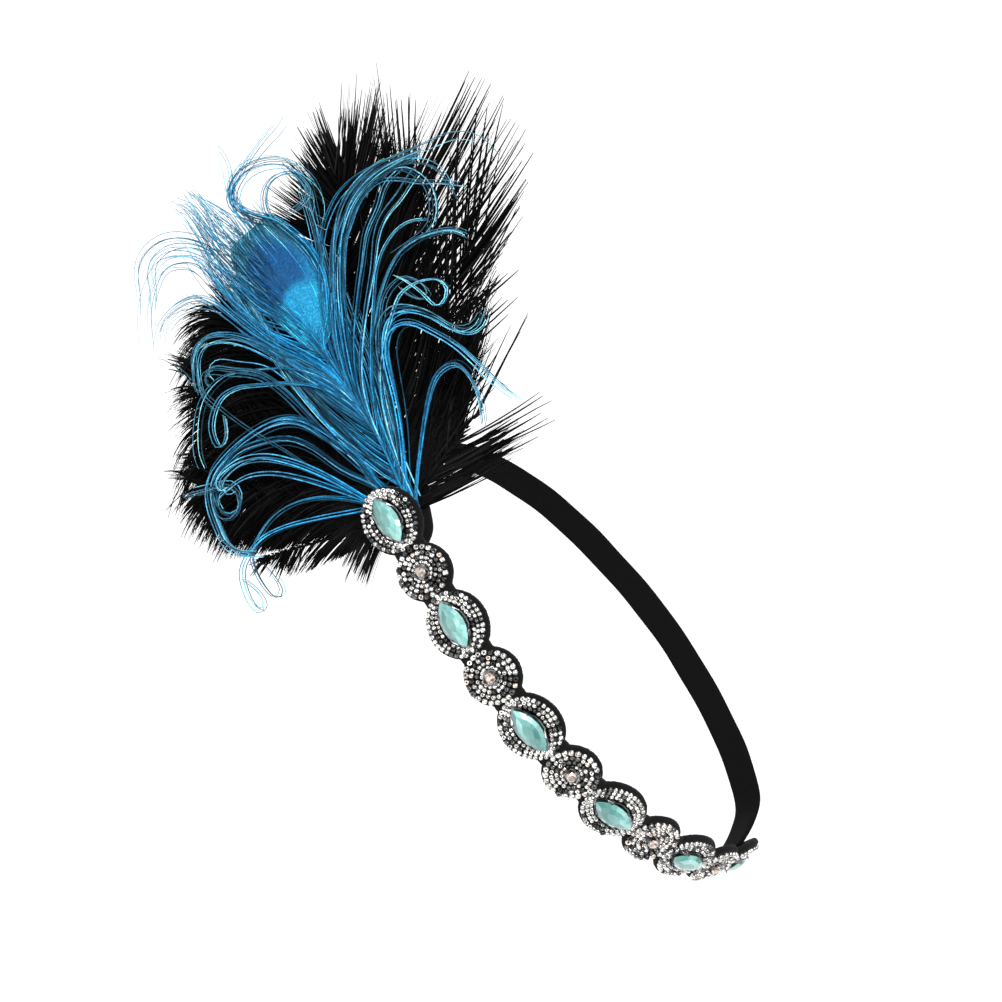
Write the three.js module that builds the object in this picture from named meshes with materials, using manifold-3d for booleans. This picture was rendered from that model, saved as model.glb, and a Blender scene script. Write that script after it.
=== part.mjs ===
// Beaded headband: a scalloped felt strip with stones and beads, an elastic and a feather plume.
// Millimetres and degrees. Z is up as the band is worn, X runs along the loop's long axis,
// and the jewelled strip lies on the -Y side with the plume at its -X end.
import * as THREE from 'three';
import { mergeVertices } from 'three/addons/utils/BufferGeometryUtils.js';
import Module from 'manifold-3d';

const wasm = await Module();
wasm.setup();

// Head loop, measured at the top of the stones
const LOOP_HALF_LENGTH = 82.9;
const LOOP_HALF_WIDTH = 71.9;
const LOOP_FRONT_ANGLE = 270;
const ARC_STEP = 0.25;
const GAP = 0.3;

// Jewelled strip
const MEDALLION_PITCH = 18.4;
const MEDALLION_COUNT = 11;
const FRONT_MEDALLION = 6;
const CURVE_START_MEDALLION = 2;
const FELT_THICKNESS = 2;
const FELT_INNER = -4.2;
const FELT_STATION = 2.3;
const FELT_BORDER = 0.7;
const FELT_NECK_HALF = 5.2;
const PLUME_END_DROP = 3.6;
const PLAIN_END_DROP = 1.6;
const LEVEL_MEDALLIONS = 2;
const DROP_POWER = 1.2;
const FELT_TIP_HALF = 1.6;

// Long stones and their settings
const STONE_HALF_LENGTH = 7.5;
const STONE_HALF_WIDTH = 3.5;
const STONE_RISE = 2.9;
const STONE_TABLE = 0.56;
const STONE_SHOULDER = 0.84;
const STONE_SHOULDER_RISE = 0.6;
const STONE_CULET = 0.5;
const STONE_GIRDLE = 0.35;
const STONE_SIDES = 12;
const CLAW_THICKNESS = 0.35;
const CLAW_RISE = 2.1;
const CLAW_LEAN = 0.96;
const TRAY_FLOOR = 0.5;
const TRAY_RIM = 0.15;

// Round stones and their settings
const RHINESTONE_RADIUS = 1.7;
const RHINESTONE_RISE = 2.5;
const RHINESTONE_TABLE = 0.55;
const RHINESTONE_SIDES = 8;

// Bead rows
const OVAL_BED_HALF_LENGTH = 10;
const OVAL_BED_HALF_WIDTH = 8.85;
const ROUND_BED_RADIUS = 8.15;
const BED_GAP = 0.5;
const BEAD_SIZE = 1.5;
const BEAD_ROWS = 3;
const BEAD_VALLEY = 0.6;
const OVAL_SIDES = 18;
const ROUND_SIDES = 16;
const LONG_TRAY_SIDES = 16;
const ROUND_TRAY_SIDES = 12;

// Elastic
const ELASTIC_WIDTH = 10;
const ELASTIC_THICKNESS = 1.2;
const ELASTIC_DROP = 3.5;
const ELASTIC_SEWN_FRONT = [-0.6, 0.2, 1];
const ELASTIC_FREE_FROM = 358;
const ELASTIC_FREE_TO = 522;
const ELASTIC_STEPS = 46;
const ELASTIC_SEWN_BACK = 9;

// Plume
const PLUME_REACH = 110;
const ROOT_HALF_LENGTH = 8;
const ROOT_HALF_WIDTH = 6.5;
const BLUE_ROOT_RAISE = 2;
const DISC_SIDES = 20;
const PATCH_HALF_LENGTH = 10.4;
const PATCH_HALF_WIDTH = 9.5;
const PATCH_THICKNESS = 1.5;
const BLUE_ROOT_THICKNESS = 1.2;
const BLACK_ROOT_THICKNESS = 2.4;
const FAN_START = 13;
const FAN_REACH = 62;
const BLUE_LIFT = 9;
const BLACK_LIFT = 5;
const QUILL_RADIUS = 0.7;
const BLACK_QUILL_RADIUS = 0.9;
const LOCK_THICKNESS = 1;

// Peacock feather
const BLUE_QUILL_LENGTH = 78;
const BLUE_QUILL_RAISE = 6.2;
const BLUE_QUILL_HEADING = 5;
const BLUE_QUILL_BEND = -3;
const EYE_MIDDLE = 77;
const EYE_HALF_LENGTH = 27;
const EYE_HALF_WIDTH = 13.5;
const EYE_THICKNESS = 1.4;
const QUILL_STEPS = 6;
const TRESS_STEPS = 6;
const TRESS_WIDTH = 6;
const TRESS_TIP_WIDTH = 0.45;

// One row for each blue tress. from is a share of the quill's length and below one of the root's
// half width, where the tress starts; length is a share of the plume's reach and width one of the
// widest tress. The heading, sweep and curl lie in the plane of the plume, and the curl begins
// at the share curlFrom of the length.
const TRESSES = [
  { from: 0.01, below: 0, length: 0.58, heading: 52, sweep: 0, curlFrom: 0.42, curl: 165, width: 0.4 },
  { from: 0.03, below: 0.15, length: 0.84, heading: 25, sweep: 2, curlFrom: 0.45, curl: 130, width: 0.47 },
  { from: 0.04, below: 0.31, length: 0.96, heading: 29, sweep: 4, curlFrom: 0.38, curl: 128, width: 0.47 },
  { from: 0.21, below: 0, length: 0.75, heading: 26, sweep: 52, curlFrom: 0.72, curl: 70, width: 0.43 },
  { from: 0.31, below: 0, length: 0.89, heading: 14, sweep: 62, curlFrom: 0.55, curl: 40, width: 0.83 },
  { from: 0.41, below: 0, length: 0.98, heading: 11, sweep: 66, curlFrom: 0.5, curl: 96, width: 1 },
  { from: 0.77, below: 0, length: 0.73, heading: 6, sweep: 0, curlFrom: 0.34, curl: 230, width: 0.57 },
  { from: 0.74, below: 0, length: 0.73, heading: -6, sweep: 12, curlFrom: 0.55, curl: 60, width: 0.5 },
  { from: 0.59, below: 0, length: 0.78, heading: -5, sweep: -14, curlFrom: 0.6, curl: 0, width: 1 },
  { from: 0.56, below: 0, length: 0.8, heading: -11, sweep: -20, curlFrom: 0.46, curl: -100, width: 0.67 },
  { from: 0.49, below: 0, length: 0.82, heading: -14, sweep: -22, curlFrom: 0.44, curl: -105, width: 0.67 },
  { from: 0.18, below: 0, length: 0.71, heading: -22, sweep: -2, curlFrom: 0.66, curl: -80, width: 0.5 },
  { from: 0.1, below: 0.31, length: 0.76, heading: -23, sweep: 0, curlFrom: 0.24, curl: -150, width: 0.57 },
  { from: 0.05, below: 0.92, length: 0.56, heading: -50, sweep: -50, curlFrom: 0.5, curl: -60, width: 0.5 },
];

// One row for each black feather. length and core, the half width, are shares of the plume's
// reach and lift is a share of the black lift. The locks of its upper and lower side have their
// count, the share of the quill where they start, their length there and at the tip as shares
// of the plume's reach, and their angle to the quill.
const BLACK_FEATHERS = [
  {
    heading: 16, bend: 7, length: 1, core: 0.17, lift: 1,
    upper: { count: 3, from: 0.75, rootLength: 0.31, tipLength: 0.15, angle: 38 },
    lower: { count: 4, from: 0.65, rootLength: 0.31, tipLength: 0.15, angle: 34 },
  },
  {
    heading: 31, bend: 5, length: 0.91, core: 0.11, lift: 0.6,
    upper: { count: 7, from: 0.36, rootLength: 0.84, tipLength: 0.2, angle: 40 },
    lower: { count: 1, from: 1, rootLength: 0.2, tipLength: 0.16, angle: 4 },
  },
  {
    heading: 48, bend: 6, length: 0.69, core: 0.11, lift: 0.3,
    upper: { count: 4, from: 0.3, rootLength: 0.47, tipLength: 0.22, angle: 24 },
    lower: { count: 1, from: 0.9, rootLength: 0.27, tipLength: 0.27, angle: 20 },
  },
  {
    heading: 72, bend: 8, length: 0.38, core: 0.08, lift: 0,
    upper: { count: 4, from: 0.3, rootLength: 0.29, tipLength: 0.22, angle: 28 },
    lower: { count: 3, from: 0.6, rootLength: 0.27, tipLength: 0.24, angle: 22 },
  },
  {
    heading: -8, bend: -4, length: 0.78, core: 0.16, lift: 0.9,
    upper: { count: 2, from: 0.8, rootLength: 0.2, tipLength: 0.15, angle: 34 },
    lower: { count: 3, from: 0.8, rootLength: 0.31, tipLength: 0.15, angle: 34 },
  },
  {
    heading: -24, bend: -4, length: 0.73, core: 0.15, lift: 0.7,
    upper: { count: 2, from: 0.8, rootLength: 0.24, tipLength: 0.13, angle: 34 },
    lower: { count: 3, from: 0.75, rootLength: 0.25, tipLength: 0.13, angle: 34 },
  },
  {
    heading: -44, bend: -7, length: 0.64, core: 0.15, lift: 0.5,
    upper: { count: 3, from: 0.75, rootLength: 0.24, tipLength: 0.13, angle: 34 },
    lower: { count: 3, from: 0.7, rootLength: 0.25, tipLength: 0.13, angle: 34 },
  },
  {
    heading: -66, bend: -9, length: 0.45, core: 0.12, lift: 0.2,
    upper: { count: 2, from: 0.7, rootLength: 0.29, tipLength: 0.16, angle: 28 },
    lower: { count: 5, from: 0.3, rootLength: 0.24, tipLength: 0.16, angle: 48 },
  },
];
const BLACK_SPINE_STEPS = 6;
const VANE_ROOT = 0.1;
const VANE_TIP = 0.8;
const LOCK_STEPS = 2;
const LOCK_WIDTH = 5;
const LOCK_TIP_WIDTH = 0.8;
const LOCK_SAG = 8;
const TIP_OPENING = 0.5;

// Colours
const MATERIALS = {
  felt: new THREE.MeshStandardMaterial({ color: 0x111113, roughness: 0.95, metalness: 0 }),
  elastic: new THREE.MeshStandardMaterial({ color: 0x17171a, roughness: 0.6, metalness: 0 }),
  metal: new THREE.MeshStandardMaterial({ color: 0xb9bcc2, roughness: 0.3, metalness: 1 }),
  turquoise: new THREE.MeshStandardMaterial({ color: 0x74cbbd, roughness: 0.15, metalness: 0 }),
  crystal: new THREE.MeshStandardMaterial({ color: 0xd8bfae, roughness: 0.1, metalness: 0 }),
  beads: new THREE.MeshStandardMaterial({ color: 0x4a4a4f, roughness: 0.25, metalness: 0.8 }),
  blueFeather: new THREE.MeshStandardMaterial({ color: 0x1a86b8, roughness: 0.7, metalness: 0 }),
  blackFeather: new THREE.MeshStandardMaterial({ color: 0x0c0c0e, roughness: 0.8, metalness: 0 }),
};

const radians = (degrees) => THREE.MathUtils.degToRad(degrees);
const FELT_OUTER = FELT_INNER + FELT_THICKNESS;
const JEWEL_BASE = FELT_OUTER + GAP;
const BLUE_ROOT_OUTER = FELT_INNER - GAP;
const BLUE_MIDDLE = BLUE_ROOT_OUTER - BLUE_ROOT_THICKNESS / 2;
const BLACK_ROOT_OUTER = BLUE_ROOT_OUTER - BLUE_ROOT_THICKNESS - GAP;
const BLACK_MIDDLE = BLACK_ROOT_OUTER - BLACK_ROOT_THICKNESS / 2;
const PATCH_OUTER = BLACK_ROOT_OUTER - BLACK_ROOT_THICKNESS - GAP;
const ELASTIC_FRONT_OUT = FELT_INNER - GAP - ELASTIC_THICKNESS / 2;
const ELASTIC_BACK_OUT = PATCH_OUTER - PATCH_THICKNESS - GAP - ELASTIC_THICKNESS / 2;

// Closed solids from rings of points

function makeSolid(points, triangles) {
  const geometry = new THREE.BufferGeometry();
  const positions = points.flatMap((p) => [p.x, p.y, p.z]);
  geometry.setAttribute('position', new THREE.Float32BufferAttribute(positions, 3));
  let volume = 0;
  for (const [a, b, c] of triangles) {
    volume += points[a].dot(new THREE.Vector3().crossVectors(points[b], points[c]));
  }
  const facing = volume < 0 ? triangles.map(([a, b, c]) => [a, c, b]) : triangles;
  geometry.setIndex(facing.flat());
  return geometry;
}

function joinRings(triangles, first, second, size) {
  for (let i = 0; i < size; i += 1) {
    const next = (i + 1) % size;
    triangles.push([first + i, first + next, second + next]);
    triangles.push([first + i, second + next, second + i]);
  }
}

function capRing(triangles, first, size, flip) {
  for (let i = 1; i < size - 1; i += 1) {
    const corner = flip ? [first, first + i + 1, first + i] : [first, first + i, first + i + 1];
    triangles.push(corner);
  }
}

function loft(rings) {
  const size = rings[0].length;
  const triangles = [];
  for (let k = 0; k < rings.length - 1; k += 1) {
    joinRings(triangles, k * size, (k + 1) * size, size);
  }
  capRing(triangles, 0, size, true);
  capRing(triangles, (rings.length - 1) * size, size, false);
  return makeSolid(rings.flat(), triangles);
}

function loopedLoft(rings) {
  const size = rings[0].length;
  const triangles = [];
  for (let k = 0; k < rings.length; k += 1) {
    joinRings(triangles, k * size, ((k + 1) % rings.length) * size, size);
  }
  return makeSolid(rings.flat(), triangles);
}

function toManifold(geometry) {
  const plain = geometry.clone();
  plain.deleteAttribute('normal');
  plain.deleteAttribute('uv');
  const merged = mergeVertices(plain);
  return new wasm.Manifold(new wasm.Mesh({
    numProp: 3,
    vertProperties: new Float32Array(merged.attributes.position.array),
    triVerts: new Uint32Array(merged.index.array),
  }));
}

function fuse(geometries) {
  let whole = toManifold(geometries[0]);
  for (const piece of geometries.slice(1)) {
    whole = whole.add(toManifold(piece));
  }
  const mesh = whole.getMesh();
  const geometry = new THREE.BufferGeometry();
  geometry.setAttribute('position', new THREE.BufferAttribute(new Float32Array(mesh.vertProperties), 3));
  geometry.setIndex(new THREE.BufferAttribute(new Uint32Array(mesh.triVerts), 1));
  return geometry;
}

// The loop: a place along the strip, a height and a distance outward become a point

function ellipsePoint(angle, out = 0) {
  const c = Math.cos(radians(angle));
  const s = Math.sin(radians(angle));
  const normal = new THREE.Vector3(LOOP_HALF_WIDTH * c, LOOP_HALF_LENGTH * s, 0).normalize();
  return new THREE.Vector3(LOOP_HALF_LENGTH * c, LOOP_HALF_WIDTH * s, 0).addScaledVector(normal, out);
}

function ellipseAngleAt(distance) {
  const steps = Math.max(1, Math.round(Math.abs(distance) / ARC_STEP));
  const step = distance / steps;
  let angle = radians(LOOP_FRONT_ANGLE);
  for (let i = 0; i < steps; i += 1) {
    const speed = Math.hypot(LOOP_HALF_LENGTH * Math.sin(angle), LOOP_HALF_WIDTH * Math.cos(angle));
    angle += step / speed;
  }
  return THREE.MathUtils.radToDeg(angle);
}

const CURVE_START = (CURVE_START_MEDALLION - FRONT_MEDALLION) * MEDALLION_PITCH;

// Both ends of the strip hang a little lower than its middle
function stripHeight(distance) {
  const middle = ((MEDALLION_COUNT - 1) / 2 - FRONT_MEDALLION) * MEDALLION_PITCH;
  const level = LEVEL_MEDALLIONS * MEDALLION_PITCH;
  const reach = ((MEDALLION_COUNT - 1) / 2) * MEDALLION_PITCH - level;
  const share = Math.max(0, Math.abs(distance - middle) - level) / reach;
  return -(distance < middle ? PLUME_END_DROP : PLAIN_END_DROP) * share ** DROP_POWER;
}

function loopFrame(distance) {
  const onCurve = Math.max(distance, CURVE_START);
  const angle = ellipseAngleAt(onCurve);
  const c = Math.cos(radians(angle));
  const s = Math.sin(radians(angle));
  const along = new THREE.Vector3(-LOOP_HALF_LENGTH * s, LOOP_HALF_WIDTH * c, 0).normalize();
  const outward = new THREE.Vector3(along.y, -along.x, 0);
  const origin = ellipsePoint(angle).addScaledVector(along, distance - onCurve);
  return { origin, along, outward, height: stripHeight(distance) };
}

function bend(distance, height, out) {
  const frame = loopFrame(distance);
  return frame.origin.addScaledVector(frame.outward, out).setZ(frame.height + height);
}

const medallionDistance = (index) => (index - FRONT_MEDALLION) * MEDALLION_PITCH;
const isMarquise = (index) => index % 2 === 0;

// Outlines in the plane of the strip: u along it, w up

function pointedOval(halfLength, halfWidth, count) {
  const radius = (halfLength ** 2 + halfWidth ** 2) / (2 * halfWidth);
  const drop = radius - halfWidth;
  return Array.from({ length: count }, (_, i) => {
    const turn = i / count;
    const side = turn < 0.5 ? 1 : -1;
    const share = turn < 0.5 ? turn * 2 : (turn - 0.5) * 2;
    const reach = Math.asin(halfLength / radius) * (1 - 2 * share);
    return { u: side * radius * Math.sin(reach), w: side * (radius * Math.cos(reach) - drop) };
  });
}

function roundOval(halfLength, halfWidth, count) {
  return Array.from({ length: count }, (_, i) => {
    const turn = (i / count) * Math.PI * 2;
    return { u: halfLength * Math.cos(turn), w: halfWidth * Math.sin(turn) };
  });
}

// Felt strip, whose edge follows the medallions

function feltHalfWidth(distance) {
  let half = FELT_NECK_HALF;
  for (let index = 0; index < MEDALLION_COUNT; index += 1) {
    const reach = Math.abs(distance - medallionDistance(index));
    const long = (isMarquise(index) ? OVAL_BED_HALF_LENGTH : ROUND_BED_RADIUS) + FELT_BORDER;
    const wide = (isMarquise(index) ? OVAL_BED_HALF_WIDTH : ROUND_BED_RADIUS) + FELT_BORDER;
    if (reach < long) {
      half = Math.max(half, wide * Math.sqrt(1 - (reach / long) ** 2));
    }
  }
  return half;
}

function makeFelt() {
  const end = OVAL_BED_HALF_LENGTH + FELT_BORDER;
  const first = medallionDistance(0) - end;
  const last = medallionDistance(MEDALLION_COUNT - 1) + end;
  const count = Math.round((last - first) / FELT_STATION);
  const rings = [];
  for (let i = 0; i <= count; i += 1) {
    const distance = first + ((last - first) * i) / count;
    const tip = Math.min(distance - first, last - distance);
    const ending = Math.sqrt(Math.max(0, 1 - (1 - Math.min(1, tip / end)) ** 2));
    const endHalf = Math.max(FELT_TIP_HALF, (OVAL_BED_HALF_WIDTH + FELT_BORDER) * ending);
    const half = Math.min(feltHalfWidth(distance), tip < end ? endHalf : Infinity);
    rings.push([
      bend(distance, -half, FELT_INNER),
      bend(distance, half, FELT_INNER),
      bend(distance, half, FELT_OUTER),
      bend(distance, -half, FELT_OUTER),
    ]);
  }
  return loft(rings);
}

// Stones and settings, each on its own flat frame at the middle of a medallion

function onMedallion(index) {
  const distance = medallionDistance(index);
  const { origin, along, outward, height } = loopFrame(distance);
  const slope = stripHeight(distance + 0.5) - stripHeight(distance - 0.5);
  return ({ u, w }, out) => origin.clone()
    .addScaledVector(along, u)
    .addScaledVector(outward, out)
    .setZ(height + slope * u + w);
}

function stackedSolid(index, outline, layers) {
  const place = onMedallion(index);
  return loft(layers.map(({ scale, rise }) => outline.map(({ u, w }) => (
    place({ u: u * scale, w: w * scale }, JEWEL_BASE + rise)
  ))));
}

// A tray whose rim rises into four claws
function makeSetting(index, outline, halfWidth, isClaw) {
  const place = onMedallion(index);
  const wall = 1 - CLAW_THICKNESS / halfWidth;
  const rim = (i) => (isClaw(i) ? CLAW_RISE : TRAY_FLOOR + TRAY_RIM);
  const lean = (i) => (isClaw(i) ? CLAW_LEAN : 1);
  const ring = (scaleOf, riseOf) => outline.map(({ u, w }, i) => (
    place({ u: u * scaleOf(i), w: w * scaleOf(i) }, JEWEL_BASE + riseOf(i))
  ));
  return loft([
    ring(() => 1, () => 0),
    ring(lean, rim),
    ring((i) => wall * lean(i), rim),
    ring(() => wall, () => TRAY_FLOOR),
  ]);
}

function makeStone(index, outline, rise, table) {
  const seat = TRAY_FLOOR + GAP;
  const girdle = seat + (rise - seat) * STONE_GIRDLE;
  const edge = girdle + GAP / 2;
  return stackedSolid(index, outline, [
    { scale: STONE_CULET, rise: seat },
    { scale: 1, rise: girdle },
    { scale: 1, rise: edge },
    { scale: STONE_SHOULDER, rise: edge + (rise - edge) * STONE_SHOULDER_RISE },
    { scale: table, rise },
  ]);
}

// A bed of bead rows: a ridged ring that follows the curve of the strip

function makeBeadBed(index, inner, outer) {
  const distance = medallionDistance(index);
  const profile = [{ share: 0, rise: 0 }];
  for (let row = 0; row < BEAD_ROWS; row += 1) {
    profile.push({ share: (row + 0.5) / BEAD_ROWS, rise: BEAD_SIZE });
    profile.push({ share: (row + 1) / BEAD_ROWS, rise: BEAD_SIZE * BEAD_VALLEY });
  }
  profile.at(-1).rise = 0;
  return loopedLoft(inner.map((near, i) => profile.map(({ share, rise }) => {
    const u = THREE.MathUtils.lerp(near.u, outer[i].u, share);
    const w = THREE.MathUtils.lerp(near.w, outer[i].w, share);
    return bend(distance + u, w, JEWEL_BASE + rise);
  })));
}

// Elastic: behind the last medallion, round the back of the head and onto the plume's patch

function makeElastic() {
  const plan = [];
  const lastMedallion = medallionDistance(MEDALLION_COUNT - 1);
  const feltEnd = OVAL_BED_HALF_LENGTH + FELT_BORDER;
  for (const share of ELASTIC_SEWN_FRONT) {
    plan.push(bend(lastMedallion + share * feltEnd, 0, ELASTIC_FRONT_OUT));
  }
  for (let angle = ELASTIC_FREE_FROM; angle <= ELASTIC_FREE_TO; angle += 15) {
    plan.push(ellipsePoint(angle));
  }
  for (let t = ROOT_HALF_LENGTH / 2; t >= -ELASTIC_SEWN_BACK; t -= 4) {
    plan.push(plumePoint(t, 0, ELASTIC_BACK_OUT));
  }
  const path = new THREE.CatmullRomCurve3(plan, false, 'centripetal');
  const rings = [];
  for (let i = 0; i <= ELASTIC_STEPS; i += 1) {
    const middle = path.getPointAt(i / ELASTIC_STEPS).setZ(-ELASTIC_DROP);
    const along = path.getTangentAt(i / ELASTIC_STEPS).setZ(0).normalize();
    const side = new THREE.Vector3(along.y, -along.x, 0).multiplyScalar(ELASTIC_THICKNESS / 2);
    const up = new THREE.Vector3(0, 0, ELASTIC_WIDTH / 2);
    rings.push([
      middle.clone().sub(side).sub(up),
      middle.clone().add(side).sub(up),
      middle.clone().add(side).add(up),
      middle.clone().sub(side).add(up),
    ]);
  }
  return loft(rings);
}

// Plume plane: t away from the strip, z up, out towards the wearer's front

const HUB = loopFrame(medallionDistance(0));

function plumePoint(t, z, out) {
  return HUB.origin.clone()
    .addScaledVector(HUB.along, -t)
    .addScaledVector(HUB.outward, out)
    .setZ(z);
}

function fanShare(t, z) {
  return THREE.MathUtils.smootherstep(Math.hypot(t, z), FAN_START, FAN_START + FAN_REACH);
}

const blueOut = (t, z) => BLUE_MIDDLE + BLUE_LIFT * fanShare(t, z);
const blackOut = (lift) => (t, z) => BLACK_MIDDLE + lift * BLACK_LIFT * fanShare(t, z);

function walk(start, length, steps, headingAt) {
  const places = [];
  let { t, z } = start;
  for (let i = 0; i <= steps; i += 1) {
    const share = i / steps;
    const heading = radians(headingAt(share));
    places.push({ t, z, heading, share });
    t += (length / steps) * Math.cos(heading);
    z += (length / steps) * Math.sin(heading);
  }
  return places;
}

function ribbon(places, widthAt, thickness, outAt) {
  return loft(places.map(({ t, z, heading, share }) => {
    const half = widthAt(share) / 2;
    const side = { t: -Math.sin(heading) * half, z: Math.cos(heading) * half };
    const out = outAt(t, z);
    const depth = Math.min(thickness, widthAt(share)) / 2;
    return [
      plumePoint(t - side.t, z - side.z, out),
      plumePoint(t, z, out + depth),
      plumePoint(t + side.t, z + side.z, out),
      plumePoint(t, z, out - depth),
    ];
  }));
}

function rootDisc(outer, thickness, halfLength, halfWidth, middle) {
  const outline = roundOval(halfLength, halfWidth, DISC_SIDES);
  return loft([outer, outer - thickness].map((out) => (
    outline.map(({ u, w }) => plumePoint(u, middle + w, out))
  )));
}

// Peacock feather: quill, eye and curled tresses

function blueQuill(steps, length) {
  const headingAt = (share) => BLUE_QUILL_HEADING + BLUE_QUILL_BEND * share * (length / BLUE_QUILL_LENGTH);
  return walk({ t: 0, z: HUB.height + BLUE_QUILL_RAISE }, length, steps, headingAt);
}

function makeTress(row) {
  const quill = blueQuill(QUILL_STEPS, row.from * BLUE_QUILL_LENGTH).at(-1);
  const root = { t: quill.t, z: quill.z - row.below * ROOT_HALF_WIDTH };
  const headingAt = (share) => {
    const curled = Math.max(0, (share - row.curlFrom) / (1 - row.curlFrom));
    return row.heading + row.sweep * share + row.curl * curled;
  };
  const places = walk(root, row.length * PLUME_REACH, TRESS_STEPS, headingAt);
  const widthAt = (share) => THREE.MathUtils.lerp(row.width * TRESS_WIDTH, TRESS_TIP_WIDTH, share);
  return ribbon(places, widthAt, LOCK_THICKNESS, blueOut);
}

function makeEye() {
  const middle = blueQuill(QUILL_STEPS, EYE_MIDDLE).at(-1);
  const places = [-1, -0.8, -0.4, 0, 0.4, 0.8, 1].map((share) => ({
    t: middle.t + share * EYE_HALF_LENGTH * Math.cos(middle.heading),
    z: middle.z + share * EYE_HALF_LENGTH * Math.sin(middle.heading),
    heading: middle.heading,
    share,
  }));
  const widthAt = (share) => Math.max(1, 2 * EYE_HALF_WIDTH * Math.sqrt(Math.max(0, 1 - share ** 2)));
  return ribbon(places, widthAt, EYE_THICKNESS, blueOut);
}

function makePeacockFeather() {
  const thickness = 2 * QUILL_RADIUS;
  const quill = ribbon(blueQuill(QUILL_STEPS, BLUE_QUILL_LENGTH), () => thickness, thickness, blueOut);
  const root = rootDisc(
    BLUE_ROOT_OUTER,
    BLUE_ROOT_THICKNESS,
    ROOT_HALF_LENGTH,
    ROOT_HALF_WIDTH,
    HUB.height + BLUE_ROOT_RAISE,
  );
  return fuse([root, quill, makeEye(), ...TRESSES.map(makeTress)]);
}

// Black plume: feathers bound at the root, each a vane with pointed locks along both sides

function makeLocks(feather, spine, locks, side) {
  return Array.from({ length: locks.count }, (_, i) => {
    const share = THREE.MathUtils.lerp(locks.from, 1, i / Math.max(1, locks.count - 1));
    const root = spine(share);
    const length = PLUME_REACH * THREE.MathUtils.lerp(locks.rootLength, locks.tipLength, share);
    const opening = locks.angle * THREE.MathUtils.lerp(1, TIP_OPENING, share);
    const start = THREE.MathUtils.radToDeg(root.heading) + side * opening;
    const places = walk(root, length, LOCK_STEPS, (along) => start - side * LOCK_SAG * along);
    const widthAt = (along) => THREE.MathUtils.lerp(LOCK_WIDTH, LOCK_TIP_WIDTH, along);
    return ribbon(places, widthAt, LOCK_THICKNESS, blackOut(feather.lift));
  });
}

function makeBlackFeather(feather) {
  const headingAt = (share) => feather.heading + feather.bend * share;
  const root = { t: 0, z: HUB.height };
  const length = feather.length * PLUME_REACH;
  const spine = (share) => (
    walk(root, length * share, BLACK_SPINE_STEPS, (along) => headingAt(along * share)).at(-1)
  );
  const places = walk(root, length, BLACK_SPINE_STEPS, headingAt);
  const halfVane = feather.core * PLUME_REACH;
  const turn = (share) => Math.PI * THREE.MathUtils.lerp(VANE_ROOT, VANE_TIP, share);
  const vane = (share) => 2 * halfVane * Math.sin(turn(share));
  return [
    ribbon(places, vane, 2 * BLACK_QUILL_RADIUS, blackOut(feather.lift)),
    ...makeLocks(feather, spine, feather.upper, 1),
    ...makeLocks(feather, spine, feather.lower, -1),
  ];
}

function makeBlackPlume() {
  const root = rootDisc(
    BLACK_ROOT_OUTER,
    BLACK_ROOT_THICKNESS,
    ROOT_HALF_LENGTH,
    ROOT_HALF_WIDTH,
    HUB.height,
  );
  return fuse([root, ...BLACK_FEATHERS.flatMap(makeBlackFeather)]);
}

// Assembly

const headband = new THREE.Group();

function addPiece(name, geometry, material) {
  const mesh = new THREE.Mesh(geometry, material);
  mesh.name = name;
  headband.add(mesh);
}

addPiece('felt_backing', makeFelt(), MATERIALS.felt);
addPiece('elastic_band', makeElastic(), MATERIALS.elastic);
addPiece(
  'plume_patch',
  rootDisc(PATCH_OUTER, PATCH_THICKNESS, PATCH_HALF_LENGTH, PATCH_HALF_WIDTH, HUB.height),
  MATERIALS.felt,
);
addPiece('peacock_feather', makePeacockFeather(), MATERIALS.blueFeather);
addPiece('black_plume', makeBlackPlume(), MATERIALS.blackFeather);

const clawRoom = GAP + CLAW_THICKNESS;
const longTray = pointedOval(STONE_HALF_LENGTH + clawRoom, STONE_HALF_WIDTH + clawRoom, LONG_TRAY_SIDES);
const roundTray = roundOval(RHINESTONE_RADIUS + clawRoom, RHINESTONE_RADIUS + clawRoom, ROUND_TRAY_SIDES);
const isLongClaw = (i) => i % (LONG_TRAY_SIDES / 4) === LONG_TRAY_SIDES / 8;
const isRoundClaw = (i) => i % (ROUND_TRAY_SIDES / 4) === 0;

function addMarquise(index, number) {
  const outline = pointedOval(STONE_HALF_LENGTH, STONE_HALF_WIDTH, STONE_SIDES);
  const innerLength = STONE_HALF_LENGTH + clawRoom + BED_GAP;
  const innerWidth = STONE_HALF_WIDTH + clawRoom + BED_GAP;
  const inner = pointedOval(innerLength, innerWidth, OVAL_SIDES);
  const outer = roundOval(OVAL_BED_HALF_LENGTH, OVAL_BED_HALF_WIDTH, OVAL_SIDES);
  const setting = makeSetting(index, longTray, STONE_HALF_WIDTH + clawRoom, isLongClaw);
  addPiece(`marquise_setting_${number}`, setting, MATERIALS.metal);
  const stone = makeStone(index, outline, STONE_RISE, STONE_TABLE);
  addPiece(`marquise_stone_${number}`, stone, MATERIALS.turquoise);
  addPiece(`marquise_bead_bed_${number}`, makeBeadBed(index, inner, outer), MATERIALS.beads);
}

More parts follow.
